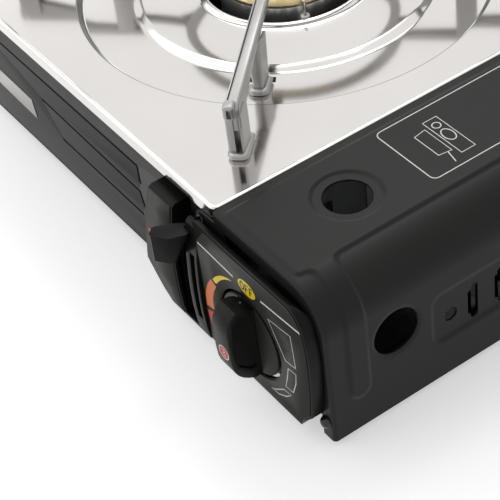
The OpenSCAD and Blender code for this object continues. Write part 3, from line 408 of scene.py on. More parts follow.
class Form:
    """A mesh in the making, in millimetres from the pan's front right top corner."""

    def __init__(self) -> None:
        """Starts an empty mesh."""
        self.bm = bmesh.new()

    def face(self, corners: Iterable[Point]) -> bmesh.types.BMFace:
        """Adds one flat face."""
        return self.bm.faces.new([self.bm.verts.new(p) for p in corners])

    def path(self, points: Iterable[Point], closed: bool = False) -> list[bmesh.types.BMEdge]:
        """Adds a line of edges.

        Args:
            points: Its points.
            closed: Whether it runs back to its start.

        Returns:
            The edges.
        """
        verts = [self.bm.verts.new(p) for p in points]
        ends = verts[1:] + verts[:1] if closed else verts[1:]
        return [self.bm.edges.new(pair) for pair in zip(verts, ends)]

    def fill(self, edges: Sequence[bmesh.types.BMEdge], normal: Point) -> None:
        """Fills the flat sheet between closed lines."""
        bmesh.ops.triangle_fill(self.bm, use_beauty=True, edges=edges, normal=normal)

    def pull(self, geometry: Sequence, by: Point) -> list[bmesh.types.BMVert]:
        """Extrudes faces or edges.

        Args:
            geometry: The faces or edges.
            by: The way they go.

        Returns:
            The vertices at the far end.
        """
        if isinstance(geometry[0], bmesh.types.BMFace):
            made = bmesh.ops.extrude_face_region(self.bm, geom=geometry)["geom"]
        else:
            made = bmesh.ops.extrude_edge_only(self.bm, edges=geometry)["geom"]
        verts = [item for item in made if isinstance(item, bmesh.types.BMVert)]
        bmesh.ops.translate(self.bm, vec=Vector(by), verts=verts)
        return verts

    def bevel(self, geometry: Sequence, width: float, segments: int) -> None:
        """Rounds edges, or the corners at vertices.

        Args:
            geometry: The edges or vertices.
            width: Width of the rounding.
            segments: Its steps.
        """
        corners = isinstance(geometry[0], bmesh.types.BMVert)
        bmesh.ops.bevel(
            self.bm, geom=geometry, offset=width, segments=segments, profile=0.5,
            affect="VERTICES" if corners else "EDGES", material=-1, clamp_overlap=True,
        )

    def inset(self, face: bmesh.types.BMFace, inward: float, out: float, even: bool) -> None:
        """Shrinks a face and moves it out.

        Args:
            face: The face.
            inward: Width of the strip round it.
            out: Distance along its normal.
            even: Whether the strip keeps its width at the corners.
        """
        bmesh.ops.inset_region(
            self.bm, faces=[face], thickness=inward, depth=out, use_even_offset=even
        )

    def drop(self, faces: Sequence[bmesh.types.BMFace], with_edges: bool = True) -> None:
        """Removes faces, and the edges that only they have unless these stay."""
        bmesh.ops.delete(self.bm, geom=faces, context="FACES" if with_edges else "FACES_ONLY")

    def weld(self) -> None:
        """Merges doubles and turns the faces outward."""
        bmesh.ops.remove_doubles(self.bm, verts=self.bm.verts, dist=1e-4)
        bmesh.ops.recalc_face_normals(self.bm, faces=self.bm.faces)
        self.bm.normal_update()

    def face_up(self) -> None:
        """Turns a sheet's faces so that most of them look up."""
        self.bm.normal_update()
        if sum(f.normal.z * f.calc_area() for f in self.bm.faces) < 0:
            bmesh.ops.reverse_faces(self.bm, faces=self.bm.faces)

    def cut(self, loop: Sequence[Pair], level: float, clear: float) -> None:
        """Cuts an opening into a level sheet.

        Args:
            loop: The opening's outline.
            level: Height of the sheet.
            clear: Width of the strip round the outline that is meshed anew.
        """
        centre = sum((Vector(p) for p in loop), Vector((0, 0))) / len(loop)
        reach = max((Vector(p) - centre).length for p in loop)
        gone = []
        for f in self.bm.faces:
            middle = f.calc_center_median()
            size = clear + max((v.co - middle).length for v in f.verts)
            flat = middle.to_2d()
            if abs(middle.z - level) > 0.01 or (flat - centre).length > reach + size:
                continue
            if inside(flat, loop) or any((flat - Vector(p)).length < size for p in loop):
                gone.append(f)
        known = {e for e in self.bm.edges if e.is_boundary}
        self.drop(gone)
        ragged = [e for e in self.bm.edges if e.is_boundary and e not in known]
        self.fill(ragged + self.path([(*p, level) for p in loop], True), (0, 0, 1))

    def spin(self, outline: Sequence[Point], centre: Point, axis: Point, steps: int) -> None:
        """Turns an outline once round an axis.

        Args:
            outline: Points of the outline.
            centre: A point on the axis.
            axis: Direction of the axis.
            steps: Number of steps.
        """
        edges = self.path(outline)
        verts = list({v for e in edges for v in e.verts})
        bmesh.ops.spin(
            self.bm, geom=verts + edges, cent=centre, axis=axis, angle=math.tau, steps=steps,
            use_merge=True, use_duplicate=False,
        )

    def move(self, matrix: Matrix) -> None:
        """Moves the whole mesh."""
        bmesh.ops.transform(self.bm, matrix=matrix, verts=self.bm.verts)

    def done(self, name: str, body: Body, finish: Finish, sharp: float = 35.0) -> bpy.types.Object:
        """Turns the mesh into a piece in its place.

        Args:
            name: Name of the piece.
            body: Body that it rides on.
            finish: Its finish.
            sharp: Angle in degrees over which an edge stays sharp.

        Returns:
            The piece.
        """
        self.move(Matrix.Translation(ORIGIN) @ Matrix.Scale(MM, 4))
        mesh = bpy.data.meshes.new(name)
        self.bm.to_mesh(mesh)
        self.bm.free()
        mesh.shade_smooth()
        mesh.set_sharp_from_angle(angle=math.radians(sharp))
        return publish(name, mesh, body, finish)


def prism(outline: Iterable[Point], by: Point) -> Form:
    """Makes a closed prism from one face of it and the way it goes.

    Args:
        outline: Corners of the face.
        by: The way to the face at the other end.

    Returns:
        The closed mesh.
    """
    form = Form()
    form.pull([form.face(outline)], by)
    form.weld()
    return form


def stand(name: str, data: bpy.types.ID) -> bpy.types.Object:
    """Puts an object into the scene.

    Args:
        name: Its name.
        data: Its mesh, curve, lamp or camera.

    Returns:
        The object.
    """
    made = bpy.data.objects.new(name, data)
    bpy.context.scene.collection.objects.link(made)
    return made


def coat(mesh: bpy.types.Mesh, finish: Finish) -> None:
    """Gives a mesh its finish."""
    mesh.materials.clear()
    mesh.materials.append(finish.material())


def publish(name: str, mesh: bpy.types.Mesh, body: Body, finish: Finish) -> bpy.types.Object:
    """Stands a piece in the scene with its finish and lets it ride on its body.

    Args:
        name: Name of the piece.
        mesh: Its mesh, in place.
        body: Body that it rides on.
        finish: Its finish.

    Returns:
        The piece.
    """
    piece = stand(name, mesh)
    coat(mesh, finish)
    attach(piece, body.value)
    log.info("piece %s on %s", piece.name, body.value)
    return piece


def wall(piece: bpy.types.Object, thickness: float, offset: float = -1) -> None:
    """Gives a sheet its thickness and sharpens its open edges.

    Args:
        piece: The sheet.
        thickness: Its thickness in millimetres.
        offset: Side that the wall grows to, -1 for inward and 1 for outward.
    """
    bm = bmesh.new()
    bm.from_mesh(piece.data)
    for edge in bm.edges:
        edge.smooth = edge.smooth and not edge.is_boundary
    bm.to_mesh(piece.data)
    bm.free()
    solid = piece.modifiers.new("wall", "SOLIDIFY")
    solid.thickness = thickness * MM
    solid.offset = offset
    solid.use_even_offset = True


def soften(node: str, finish: Finish, width: float, segments: int) -> None:
    """Stands a merged copy with rounded edges in for a CAD node.

    Args:
        node: The CAD node.
        finish: Its finish.
        width: Width of the rounding in millimetres.
        segments: Steps of the rounding.
    """
    source = frame["nodes"][node]
    mesh = source.data.copy()
    mesh.name = node + "_dressed"
    bm = bmesh.new()
    bm.from_mesh(mesh)
    bmesh.ops.remove_doubles(bm, verts=bm.verts, dist=1e-6)
    bmesh.ops.dissolve_limit(
        bm, angle_limit=math.radians(0.6), use_dissolve_boundaries=False,
        verts=bm.verts, edges=bm.edges,
    )
    bm.to_mesh(mesh)
    bm.free()
    mesh.shade_smooth()
    piece = publish(mesh.name, mesh, Body(source["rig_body"]), finish)
    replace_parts(piece, node)
    bevel = piece.modifiers.new("round", "BEVEL")
    bevel.width = width * MM
    bevel.segments = segments
    bevel.limit_method = "ANGLE"
    bevel.angle_limit = math.radians(30)
    bevel.harden_normals = True
    bevel.use_clamp_overlap = True


def stroke(name: str, paths: Sequence[Sequence[Point]], width: float, fineness: int) -> Form:
    """Makes round bars along lines.

    Args:
        name: Name of the helper curve.
        paths: Lines; a closed line ends where it began.
        width: Diameter of the bars.
        fineness: Steps of their section.

    Returns:
        The closed mesh.
    """
    curve = bpy.data.curves.new(name, "CURVE")
    curve.dimensions = "3D"
    curve.bevel_depth = width / 2
    curve.bevel_resolution = fineness
    curve.use_fill_caps = True
    for points in paths:
        closed = tuple(points[0]) == tuple(points[-1])
        points = points[:-1] if closed else points
        spline = curve.splines.new("POLY")
        spline.points.add(len(points) - 1)
        for spot, p in zip(spline.points, points):
            spot.co = (*p, 1)
        spline.use_cyclic_u = closed
    holder = stand(name + "_curve", curve)
    bpy.context.view_layer.update()
    graph = bpy.context.evaluated_depsgraph_get()
    mesh = bpy.data.meshes.new_from_object(holder.evaluated_get(graph))
    bpy.data.objects.remove(holder)
    form = Form()
    form.bm.from_mesh(mesh)
    form.weld()
    return form


# ---- Studio ----


@dataclass
class Studio:
    """The plain pale floor, the soft lamps and the camera."""

    azimuth: float = 60.38
    elevation: float = 42.44
    roll: float = -8.3
    lens: float = 122.4
    eye: Triple = (471.574, -253.334, 464.0)
    fill: float = 0.25
    ground: float = 4000.0
    ground_shade: float = 0.8
    ground_glow: float = 0.5
    lamps: tuple[tuple[str, Point, Point, float], ...] = (
        ("key", (-1000, -1400, 1300), (2200, 2200), 15.0),
        ("top", (-500, 200, 2100), (2200, 2200), 14.0),
        ("rear", (-2300, 1100, 900), (1900, 1200), 6.0),
        ("glint", (-700, 760, 1800), (500, 500), 4.0),
    )

    def build(self) -> None:
        """Makes the studio."""
        scene = bpy.context.scene
        scene.view_settings.view_transform = "Standard"
        self.world(scene)
        self.floor()
        for lamp in self.lamps:
            self.lamp(*lamp)
        self.camera(scene)

    def seen(self, nodes: Nodes) -> Value:
        """Finds the rays that show the background.

        Args:
            nodes: Tree that asks.

        Returns:
            1 for those rays and 0 for all others.
        """
        camera, glossy, through = (
            nodes.add("LightPath", output=f"Is {name} Ray")
            for name in ("Camera", "Glossy", "Transmission")
        )
        return (camera + glossy + through).capped()

    def world(self, scene: bpy.types.Scene) -> None:
        """Makes white surroundings that light the stove softly.

        Args:
            scene: The scene that gets them.
        """
        world = bpy.data.worlds.new("surroundings")
        scene.world = world
        world.use_nodes = True
        nodes = Nodes(world.node_tree)
        seen = self.seen(nodes)
        strength = seen + self.fill * (1 - seen)
        shade = nodes.add("Background", {"Color": (1, 1, 1, 1), "Strength": strength})
        nodes.add("OutputWorld", {"Surface": shade})

    def floor(self) -> None:
        """White floor that keeps the stove's shadow."""
        form, g = Form(), self.ground
        form.face([(-g, -g, 0), (g, -g, 0), (g, g, 0), (-g, g, 0)])
        form.move(Matrix.Scale(MM, 4))
        mesh = bpy.data.meshes.new("floor")
        form.bm.to_mesh(mesh)
        form.bm.free()
        floor = stand("floor", mesh)
        material = bpy.data.materials.new("floor_white")
        material.use_nodes = True
        nodes = Nodes(material.node_tree)
        seen = self.seen(nodes)
        matt = nodes.add("BsdfDiffuse", {"Color": (*[self.ground_shade] * 3, 1)})
        glow = nodes.add("Emission", {"Color": (1, 1, 1, 1), "Strength": self.ground_glow})
        both = nodes.add("AddShader", {0: matt, 1: glow})
        shade = nodes.add("MixShader", {0: seen, 1: matt, 2: both})
        nodes.add("OutputMaterial", {"Surface": shade})
        mesh.materials.append(material)

    def lamp(self, name: str, place: Point, size: Point, power: float) -> None:
        """Adds an area lamp that points at the stove.

        Args:
            name: Name of the lamp.
            place: Its place in millimetres.
            size: Its width and height in millimetres.
            power: Its power in watts.
        """
        light = bpy.data.lights.new(name, "AREA")
        light.shape = "RECTANGLE"
        light.size, light.size_y = size[0] * MM, size[1] * MM
        light.energy = power
        lamp = stand(name, light)
        lamp.location = Vector(place) * MM
        lamp.rotation_euler = (-lamp.location).to_track_quat("-Z", "Y").to_euler()

    def camera(self, scene: bpy.types.Scene) -> None:
        """Places the camera.

        Args:
            scene: The scene that it looks at.
        """
        data = bpy.data.cameras.new("camera")
        data.lens = self.lens
        data.sensor_width = 36
        camera = stand("camera", data)
        turn = Matrix.Identity(3)
        for angle, axis in ((self.azimuth, "Z"), (90 - self.elevation, "X"), (self.roll, "Z")):
            turn @= Matrix.Rotation(math.radians(angle), 3, axis)
        camera.rotation_euler = turn.to_euler()
        camera.location = ORIGIN + Vector(self.eye) * MM
        scene.camera = camera


# ---- Drip pan ----


@dataclass
class DripPan:
    """The pressed stainless drip pan, a shell with a beaded edge and a round recess."""

    width: float = (PAN_HIGH.x - PAN_LOW.x) / MM
    depth: float = (PAN_HIGH.y - PAN_LOW.y) / MM
    skirt: float = (PAN_HIGH.z - PAN_LOW.z) / MM
    corner: float = 4.0
    corner_steps: int = 6
    bead: float = 1.2
    bead_turn: int = 171
    bead_step: int = 17
    margin: float = 0.6
    recess: float = -5.0
    sheet: float = 0.9
    slot: Pair = (78.0, 82.0)
    slot_half: float = 8.0
    clear: float = 0.3
    # Distances from the burner's centre between which the pan's faces take the painted shade of the
    # recess step.
    crease_shade_band: Pair = (100.8, 103.58)
    steps: int = 288
    section: Plan = (
        (106, -1), (103.6, -1), (103.5, -1), (103.1, -1.12), (102.8, -1.45), (101, -4.4),
        (100.7, -4.8), (100.2, -5), (100, -5), (98.5, -5), (92, -5), (84, -5), (77, -5), (76, -5),
        (75.2, -4.85), (74.6, -4.4), (72.7, -2.9), (72.1, -2.6), (71.2, -2.5), (58, -2.5),
        (45.6, -2.5), (44.6, -2.3), (43.6, -1.5), (42.8, -0.8), (42, -0.5), (41.4, -0.6),
        (41.05, -0.9), (41, -1.6),
    )

    @property
    def centre(self) -> Vector:
        """The burner's centre."""
        return Vector((-self.width / 2, self.depth / 2, 0))

    def edge(self, form: Form) -> list[bmesh.types.BMEdge]:
        """Makes the skirt and the bead.

        Args:
            form: The mesh that takes them.

        Returns:
            The edges where the flat begins.
        """
        x, y, z = -self.width, self.depth, -self.skirt
        face = form.face([(x, 0, z), (0, 0, z), (0, y, z), (x, y, z)])
        form.bevel(list(face.verts), self.corner, self.corner_steps)
        form.pull(form.bm.faces[:], (0, 0, self.skirt - self.bead))
        bottom, *_, top = sorted(form.bm.faces, key=lambda f: f.calc_center_median().z)
        form.drop([bottom], False)
        turns = [math.radians(a) for a in range(0, self.bead_turn, self.bead_step)]
        rolls = [
            (math.cos(a) - math.cos(b), math.sin(b) - math.sin(a)) for a, b in zip(turns, turns[1:])
        ]
        for inward, upward in (*rolls, (self.margin / self.bead, 0)):
            form.inset(top, self.bead * inward, self.bead * upward, True)
        edges = list(top.edges)
        form.drop([top], False)
        return edges

    def slots(self, form: Form) -> None:
        """Cuts the four curved slots for the support's tabs.

        Args:
            form: The mesh of the pan.
        """
        near, far = self.slot
        spread = math.degrees(2 * self.slot_half / (near + far))
        for angle in range(45, 360, 90):
            loop = arc(self.centre, (far, far), angle - spread, angle + spread, 10)
            loop += arc(self.centre, (near, near), angle + spread, angle - spread, 10)
            form.cut(loop, self.recess, self.clear)

    def build(self) -> None:
        """Makes the pan."""
        form = Form()
        outer = self.edge(form)
        known = set(form.bm.edges)
        profile = [(self.centre.x + r, self.centre.y, z) for r, z in self.section]
        form.spin(profile, self.centre, (0, 0, 1), self.steps)
        rim = self.section[0][0] - 1
        circle = [
            e for e in form.bm.edges
            if e not in known and len(e.link_faces) == 1
            and (e.verts[0].co - self.centre).to_2d().length > rim
        ]
        bmesh.ops.bridge_loops(form.bm, edges=outer + circle)
        self.slots(form)
        form.weld()
        form.face_up()
        piece = form.done("drip_pan_pressing", Body.CASE, STEEL, 40)
        # The faces over the recess's steep step get the darker steel: painted shade along that
        # step.
        piece.data.materials.append(CREASE_SHADE.material())
        for polygon in piece.data.polygons:
            away = ((polygon.center - ORIGIN) / MM - self.centre).to_2d().length
            polygon.material_index = int(self.crease_shade_band[0] < away < self.crease_shade_band[1])
        wall(piece, self.sheet)
        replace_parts(piece, "drip_pan")


# ---- Pan support ----


@dataclass(frozen=True)
class Foot:
    """A foot of an arm: the lip rolled round it and the height that it rests on.

    Attributes:
        name: Leg or heel.
        front: Place of the lip's front.
        ends: Where the lip's left and right branches end.
        low: Height of the sheet below it.
    """

    name: str
    front: float
    ends: Pair
    low: float


@dataclass
class PanSupport:
    """The removable support: a ring with four channel arms, each with two legs.

    Plans are in places out from the ring's centre and across the arm; the arm's outlines
    are in places out and heights from its top.
    """

    pan: DripPan
    play: float = 1.4
    top: float = 28.0
    ring: float = 52.0
    ridge_half: float = 2.7
    ridge_side: Plan = (
        (50.0, -4.0), (50.0, 0.0), (137.6, 0.0), (139.6, -1.6), (140.2, -4.0), (140.2, -14.0),
        (129.0, -11.0), (104.0, -4.6),
    )
    ridge_round: float = 1.5
    ridge_rounded: Pair = (-14.1, -4.1)
    flange_side: Plan = ((52.0, -3.4), (138.0, -3.4), (138.0, -0.4), (52.0, -0.4))
    flange_place: float = -3.45
    flange_sheet: float = 0.6
    nub_side: Plan = ((137.0, -7.0), (143.0, -7.0), (143.0, 0.6), (137.0, 0.6))
    nub_place: float = -4.0
    nub_wide: float = 5.2
    nub_round: float = 1.4
    nub_frame: float = 0.1
    nub_shift: Triple = (0, 0.3, -0.4)
    nub_slope: float = 0.15
    nub_deep: float = 2.4
    steel: float = 1.2
    lip: float = 3.6
    lip_half: float = 4.9
    lip_bend: float = 1.7
    leg: Foot = Foot("leg", 143.3, (133, 127), -0.95)
    heel: Foot = Foot("heel", 93.2, (88, 81.5), -4.95)
    leg_plan: Plan = (
        (130, -4.4), (140, -4.1), (140.7, -3.8), (141, -3.1), (141, -0.6), (136, -0.6), (136, 1.9),
        (140.7, 1.9), (141, 2.2), (141, 2.8), (140.6, 3.2), (130, 4.0), (130, 2.8), (134.8, 2.2),
        (134.8, -1.8), (139.8, -1.8), (139.8, -2.9), (130, -3.2),
    )
    leg_short: float = 6.0
    heel_plan: Plan = (
        (81.5, -3.2), (90.3, -2.4), (91.0, -2.1), (91.3, -1.4), (91.3, 1.4), (91.0, 2.1),
        (90.3, 2.4), (81.5, 3.2),
    )
    heel_short: float = 4.4
    heel_flare: float = 1.35
    ring_section: Plan = (
        (-3, -3), (-2.6, -1), (-1.6, -0.3), (1.6, -0.3), (2.6, -1), (3, -3), (2.6, -3.6),
        (-2.6, -3.6), (-3, -3),
    )

    @property
    def centre(self) -> Vector:
        """The support's centre, off the burner's by the play in its seat."""
        return self.pan.centre + Vector((self.play, self.play, 0))

    def put(self, form: Form, name: str, turn: int, sharp: float = 35.0) -> bpy.types.Object:
        """Turns a part of an arm to its diagonal and finishes it.

        Args:
            form: The part.
            name: Its name.
            turn: Number of the arm.
            sharp: Angle over which its edges stay sharp.

        Returns:
            The piece.
        """
        spin = Matrix.Rotation(math.radians(45 + 90 * turn), 4, "Z")
        form.move(Matrix.Translation(self.centre) @ spin)
        return form.done(f"support_{name}_{turn}", Body.SUPPORT, SATIN, sharp)

    def plate(self, side: Sequence[Pair], place: float, wide: float) -> Form:
        """Makes a plate along the arm from its outline, its place across and its width."""
        return prism([(x, place, self.top + z) for x, z in side], (0, wide, 0))

    def ridge(self, turn: int) -> None:
        """Makes the channel along the top of an arm, open below.

        Args:
            turn: Number of the arm.
        """
        form = self.plate(self.ridge_side, -self.ridge_half, 2 * self.ridge_half)
        inner = self.ridge_side[0][0] + 0.1
        low, high = (self.top + z for z in self.ridge_rounded)
        # An edge of the side's outline, past the inner end and reaching up to the top's bends.
        rounded = [
            e for e in form.bm.edges
            if abs(e.verts[0].co.y - e.verts[1].co.y) < 1
            and max(v.co.x for v in e.verts) > inner
            and max(v.co.z for v in e.verts) > high
            and min(v.co.z for v in e.verts) > low
        ]
        form.bevel(rounded, self.ridge_round, 5)
        form.bm.normal_update()
        under = [f for f in form.bm.faces if f.normal.z < -0.5]
        form.drop(under)
        wall(self.put(form, "ridge", turn, 50), self.steel)

    def flange(self, turn: int) -> None:
        """Makes the folded edge along an arm.

        Args:
            turn: Number of the arm.
        """
        form = self.plate(self.flange_side, self.flange_place, self.flange_sheet)
        form.bevel(form.bm.edges[:], 0.2, 2)
        self.put(form, "flange", turn)

    def nub(self, turn: int) -> None:
        """Makes the rounded block at an arm's tip, with a pressed window in its end.

        Args:
            turn: Number of the arm.
        """
        form = self.plate(self.nub_side, self.nub_place, self.nub_wide)
        form.bevel(form.bm.edges[:], self.nub_round, 5)
        form.bm.normal_update()
        end = max(form.bm.faces, key=lambda f: f.calc_area() * (f.normal.x > 0.99))
        form.inset(end, self.nub_frame, 0, False)
        bmesh.ops.translate(form.bm, vec=self.nub_shift, verts=end.verts)
        form.inset(end, self.nub_slope, -self.nub_deep, False)
        self.put(form, "nub", turn, 50)

    def rolled(self, foot: Foot, turn: int) -> None:
        """Makes the thick rolled lip round a foot.

        Args:
            foot: The foot.
            turn: Number of the arm.
        """
        r, bend = self.lip / 2, self.lip_bend
        mid, side = foot.front - r - bend, self.lip_half - r
        plan = [(foot.ends[0], -side - 0.4)]
        plan += arc((mid, bend - side), (bend, bend), 270, 360, 6)
        plan += arc((mid, side - bend), (bend, bend), 0, 90, 6) + [(foot.ends[1], side + 0.4)]
        path = [(x, y, foot.low + r) for x, y in plan]
        form = stroke(f"lip_{foot.name}_{turn}", [path], self.lip, 4)
        self.put(form, f"{foot.name}_lip", turn, 60)

    def leg_sheet(self, turn: int) -> None:
        """Makes the sheet of an outer leg: web, deep groove and flank.

        Args:
            turn: Number of the arm.
        """
        low, high = self.leg.low, self.top - self.leg_short
        form = prism([(x, y, low) for x, y in self.leg_plan], (0, 0, high - low))
        self.put(form, "leg", turn)

    def heel_sheet(self, turn: int) -> None:
        """Makes the sheet of an inner leg, wider at its top.

        Args:
            turn: Number of the arm.
        """
        form, low = Form(), self.heel.low
        edges = form.path([(x, y, low) for x, y in self.heel_plan])
        for vert in form.pull(edges, (0, 0, self.top - self.heel_short - low)):
            vert.co.y *= self.heel_flare
        wall(self.put(form, "heel", turn, 50), self.steel, 1)

    def crown(self) -> bpy.types.Object:
        """Makes the ring that joins the arms.

        Returns:
            The ring.
        """
        centre, form = self.centre, Form()
        section = [
            (centre.x + self.ring + r, centre.y, self.top + z) for r, z in self.ring_section
        ]
        form.spin(section, centre, (0, 0, 1), 96)
        form.weld()
        return form.done("support_ring", Body.SUPPORT, SATIN, 50)

    def build(self) -> None:
        """Makes the ring and the four arms."""
        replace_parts(self.crown(), "pan_support")
        for turn in range(4):
            self.ridge(turn)
            self.flange(turn)
            self.nub(turn)
            self.leg_sheet(turn)
            self.rolled(self.leg, turn)
            self.heel_sheet(turn)
            self.rolled(self.heel, turn)


# ---- Cover ----


def step_up(value: float, low: float, high: float) -> float:
    """Returns a soft step from 0 at low to 1 at high."""
    share = min(1.0, max(0.0, (value - low) / (high - low)))
    return share * share * (3 - 2 * share)


def from_box(s: float, v: float, box: Box, corner: float) -> float:
    """Returns the distance from a rounded rectangle, negative inside it.

    Args:
        s: First place.
        v: Second place.
        box: Low and high first place, low and high second place.
        corner: Radius of its corners.

    Returns:
        The distance.
    """
    a, b = (
        abs(place - (low + high) / 2) - (high - low) / 2 + corner
        for place, low, high in ((s, *box[:2]), (v, *box[2:]))
    )
    return min(max(a, b), 0.0) + math.hypot(max(a, 0), max(b, 0)) - corner


@dataclass
class Cover:
    """The pressed cover, laid out flat in (s, v) and then folded over its shoulder.

    s runs from the hinge side over the shoulder and down the side; v runs to the rear and
    leaves the sheet at both ends through a bend into the end rims. A form's edge is a pair:
    the distances from its outline where the slope begins and ends.
    """

    left: float = 1.0
    crown: float = 0.4
    right: float = 76.0
    shoulder: float = 21.0
    foot: float = -80.0
    front: float = -1.2
    rear: float = 253.2
    sheet: float = 1.0
    bend: float = 2.0
    rim: float = 7.6
    emboss: float = 1.1
    emboss_edge: Pair = (-1.6, 0.2)
    dent: float = 0.9
    dent_edge: Pair = (-1.6, 0.3)
    panel: Box = (4.0, 56.0, 1.6, 250.4)
    panel_corner: float = 3.0
    rib: Box = (40.0, 128.4, 8.5, 20.0)
    rib_blend: float = 5.0
    side: Box = (97.4, 125.9, 53.0, 238.0)
    side_corner: float = 6.0
    peep: Triple = (30.5, 46.5, 11.0)
    dish_edge: Pair = (14.9, 16.1)
    port: Triple = (103.6, 34.6, 11.5)
    port_dent: float = 0.5
    port_edge: Pair = (0.0, 1.6)
    bleed: Triple = (113.3, 63.6, 3.5)
    vents: int = 10
    vent_first: float = 76.6
    vent_pitch: float = 15.0
    vent_s: Pair = (103.4, 123.4)
    vent_half: float = 2.0
    hinge: Pair = (-9.0, -10.7)
    ear: float = 4.4
    ear_behind: float = 0.06
    pin: float = 1.7

    def grid(self) -> tuple[list[float], list[float]]:
        """Lays out the mesh lines of the flat sheet, closer at its forms.

        Returns:
            Their s places and their v places.
        """
        bend = self.bend * math.pi / 2
        edge = self.rim - self.bend
        length = self.rear - self.front - 2 * self.bend
        top = self.right - self.shoulder - self.left
        turn = self.shoulder * math.pi / 2
        side = self.crown - self.shoulder - self.foot
        s = spaced([
            (0, 0), (9, 13), (13, 3), (48, 46), (top + 5, 15), (top + turn, 23),
            (top + turn + side, 54),
        ])
        v = spaced([
            (-bend - edge, 0), (-bend, 2), (0, 6), (24, 40), (30, 6), (64, 44), (length - 14, 104),
            (length, 20), (length + bend, 6), (length + bend + edge, 2),
        ])
        return s, v

    def rise(self, s: float, y: float) -> float:
        """Returns how far the pressing stands out at a place of the sheet.

        Args:
            s: Place across the sheet.
            y: Place along the stove.

        Returns:
            The distance outward, negative for inward.
        """
        panel = from_box(s, y, self.panel, self.panel_corner)
        rib = from_box(s, y, self.rib, (self.rib[3] - self.rib[2]) / 2)
        soft = self.rib_blend
        share = min(1.0, max(0.0, 0.5 + 0.5 * (rib - panel) / soft))
        joined = rib + (panel - rib) * share - soft * share * (1 - share)
        high = self.emboss * (1 - step_up(joined, *self.emboss_edge))
        high *= step_up(math.hypot(s - self.peep[0], y - self.peep[1]), *self.dish_edge)
        side = from_box(s, y, self.side, self.side_corner)
        port = math.hypot(s - self.port[0], y - self.port[1]) - self.port[2]
        low = self.dent * (1 - step_up(side, *self.dent_edge))
        return high - low - self.port_dent * (1 - step_up(port, *self.port_edge))

    def fold(self, s: float, v: float) -> Triple:
        """Returns the place in space of a place on the flat sheet.

        Args:
            s: Place across the sheet.
            v: Place along the sheet.

        Returns:
            The place in millimetres.
        """
        middle = (self.front + self.rear) / 2
        half = (self.rear - self.front) / 2 - self.bend
        past = abs(v - half) - half
        if past <= 0:
            y = self.front + self.bend + v
            out = self.rise(s, y)
        else:
            bent = min(past / self.bend, math.pi / 2)
            y = middle + math.copysign(half + self.bend * math.sin(bent), v - half)
            out = self.bend * (math.cos(bent) - 1) - (past - self.bend * bent)
        flat = self.right - self.shoulder - self.left
        angle = min(math.pi / 2, max(0.0, (s - flat) / self.shoulder))
        radius = self.shoulder + out
        x = self.right - self.shoulder + radius * math.sin(angle) + min(0.0, s - flat)
        z = self.crown - self.shoulder + radius * math.cos(angle)
        return x, y, z - max(0.0, s - flat - self.shoulder * math.pi / 2)

    def outlines(self) -> list[list[Pair]]:
        """Lays out the openings on the flat sheet.

        Returns:
            Their outlines.
        """
        lead = self.front + self.bend
        loops = [
            arc((s, y - lead), (r, r), 0, 360, 56 if r > 5 else 24)[:-1]
            for s, y, r in (self.peep, self.port, self.bleed)
        ]
        low, high = self.vent_s[0] + self.vent_half, self.vent_s[1] - self.vent_half
        for k in range(self.vents):
            v = self.vent_first + self.vent_pitch * k - lead
            radii = (self.vent_half, self.vent_half)
            loops.append(arc((high, v), radii, -90, 90, 8) + arc((low, v), radii, 90, 270, 8))
        return loops

    def pressing(self) -> bpy.types.Object:
        """Makes the pressed sheet.

        Returns:
            The sheet.
        """
        s, v = self.grid()
        form = Form()
        bmesh.ops.create_grid(form.bm, x_segments=len(s) - 1, y_segments=len(v) - 1, size=1)
        for vert in form.bm.verts:
            column = round((vert.co.x + 1) / 2 * (len(s) - 1))
            row = round((vert.co.y + 1) / 2 * (len(v) - 1))
            vert.co = (s[column], v[row], 0)
        for loop in self.outlines():
            form.cut(loop, 0, 0.2)
        for vert in form.bm.verts:
            vert.co = self.fold(vert.co.x, vert.co.y)
        form.face_up()
        piece = form.done("cover_pressing", Body.COVER, PAINT, 50)
        wall(piece, self.sheet)
        return piece

    def ears(self) -> None:
        """Makes the hinge ear at each end."""
        (x, z), low = self.hinge, self.crown - self.bend - 0.1
        outline = [
            (self.left, low), (self.left + self.rim, low), (self.left + self.rim, z - self.ear),
            *arc((x, z), (self.ear, self.ear), 270, 90, 16), (self.left, z + self.ear),
        ]
        hole = arc((x, z), (self.pin, self.pin), 0, 360, 24)[:-1]
        front = self.front + self.ear_behind
        rear = self.rear - self.sheet - self.ear_behind
        for name, y in (("front", front), ("rear", rear)):
            form = Form()
            edges = []
            for loop in (outline, hole):
                edges += form.path([(px, y, pz) for px, pz in loop], True)
            form.fill(edges, (0, 1, 0))
            form.pull(form.bm.faces[:], (0, self.sheet, 0))
            form.weld()
            form.done(f"cover_ear_{name}", Body.COVER, PAINT)

    def build(self) -> None:
        """Makes the cover."""
        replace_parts(self.pressing(), "cover")
        self.ears()


# ---- Print ----


@dataclass
class Print:
    """Thin printed marks on flat faces."""

    proud: float = 0.05
    fine: float = 0.55

    def line(
        self, name: str, body: Body, paths: Sequence[Sequence[Point]], width: float, axis: int,
        colour: Finish = WHITE_INK,
    ) -> None:
        """Draws lines on a face as flattened round strokes.

        Args:
            name: Name of the drawing.
            body: Body that carries it.
            paths: Lines on the face; a closed line ends where it began.
            width: Width of the strokes.
            axis: Axis across the face.
            colour: Its ink.
        """
        form = stroke(name, paths, width, 1)
        squeeze = [1.0, 1.0, 1.0, 1.0]
        squeeze[axis] = 2 * self.proud / width
        shift = Vector((0, 0, 0))
        shift[axis] = paths[0][0][axis]
        form.move(
            Matrix.Translation(shift) @ Matrix.Diagonal(squeeze) @ Matrix.Translation(-shift)
        )
        form.done(name, body, colour)


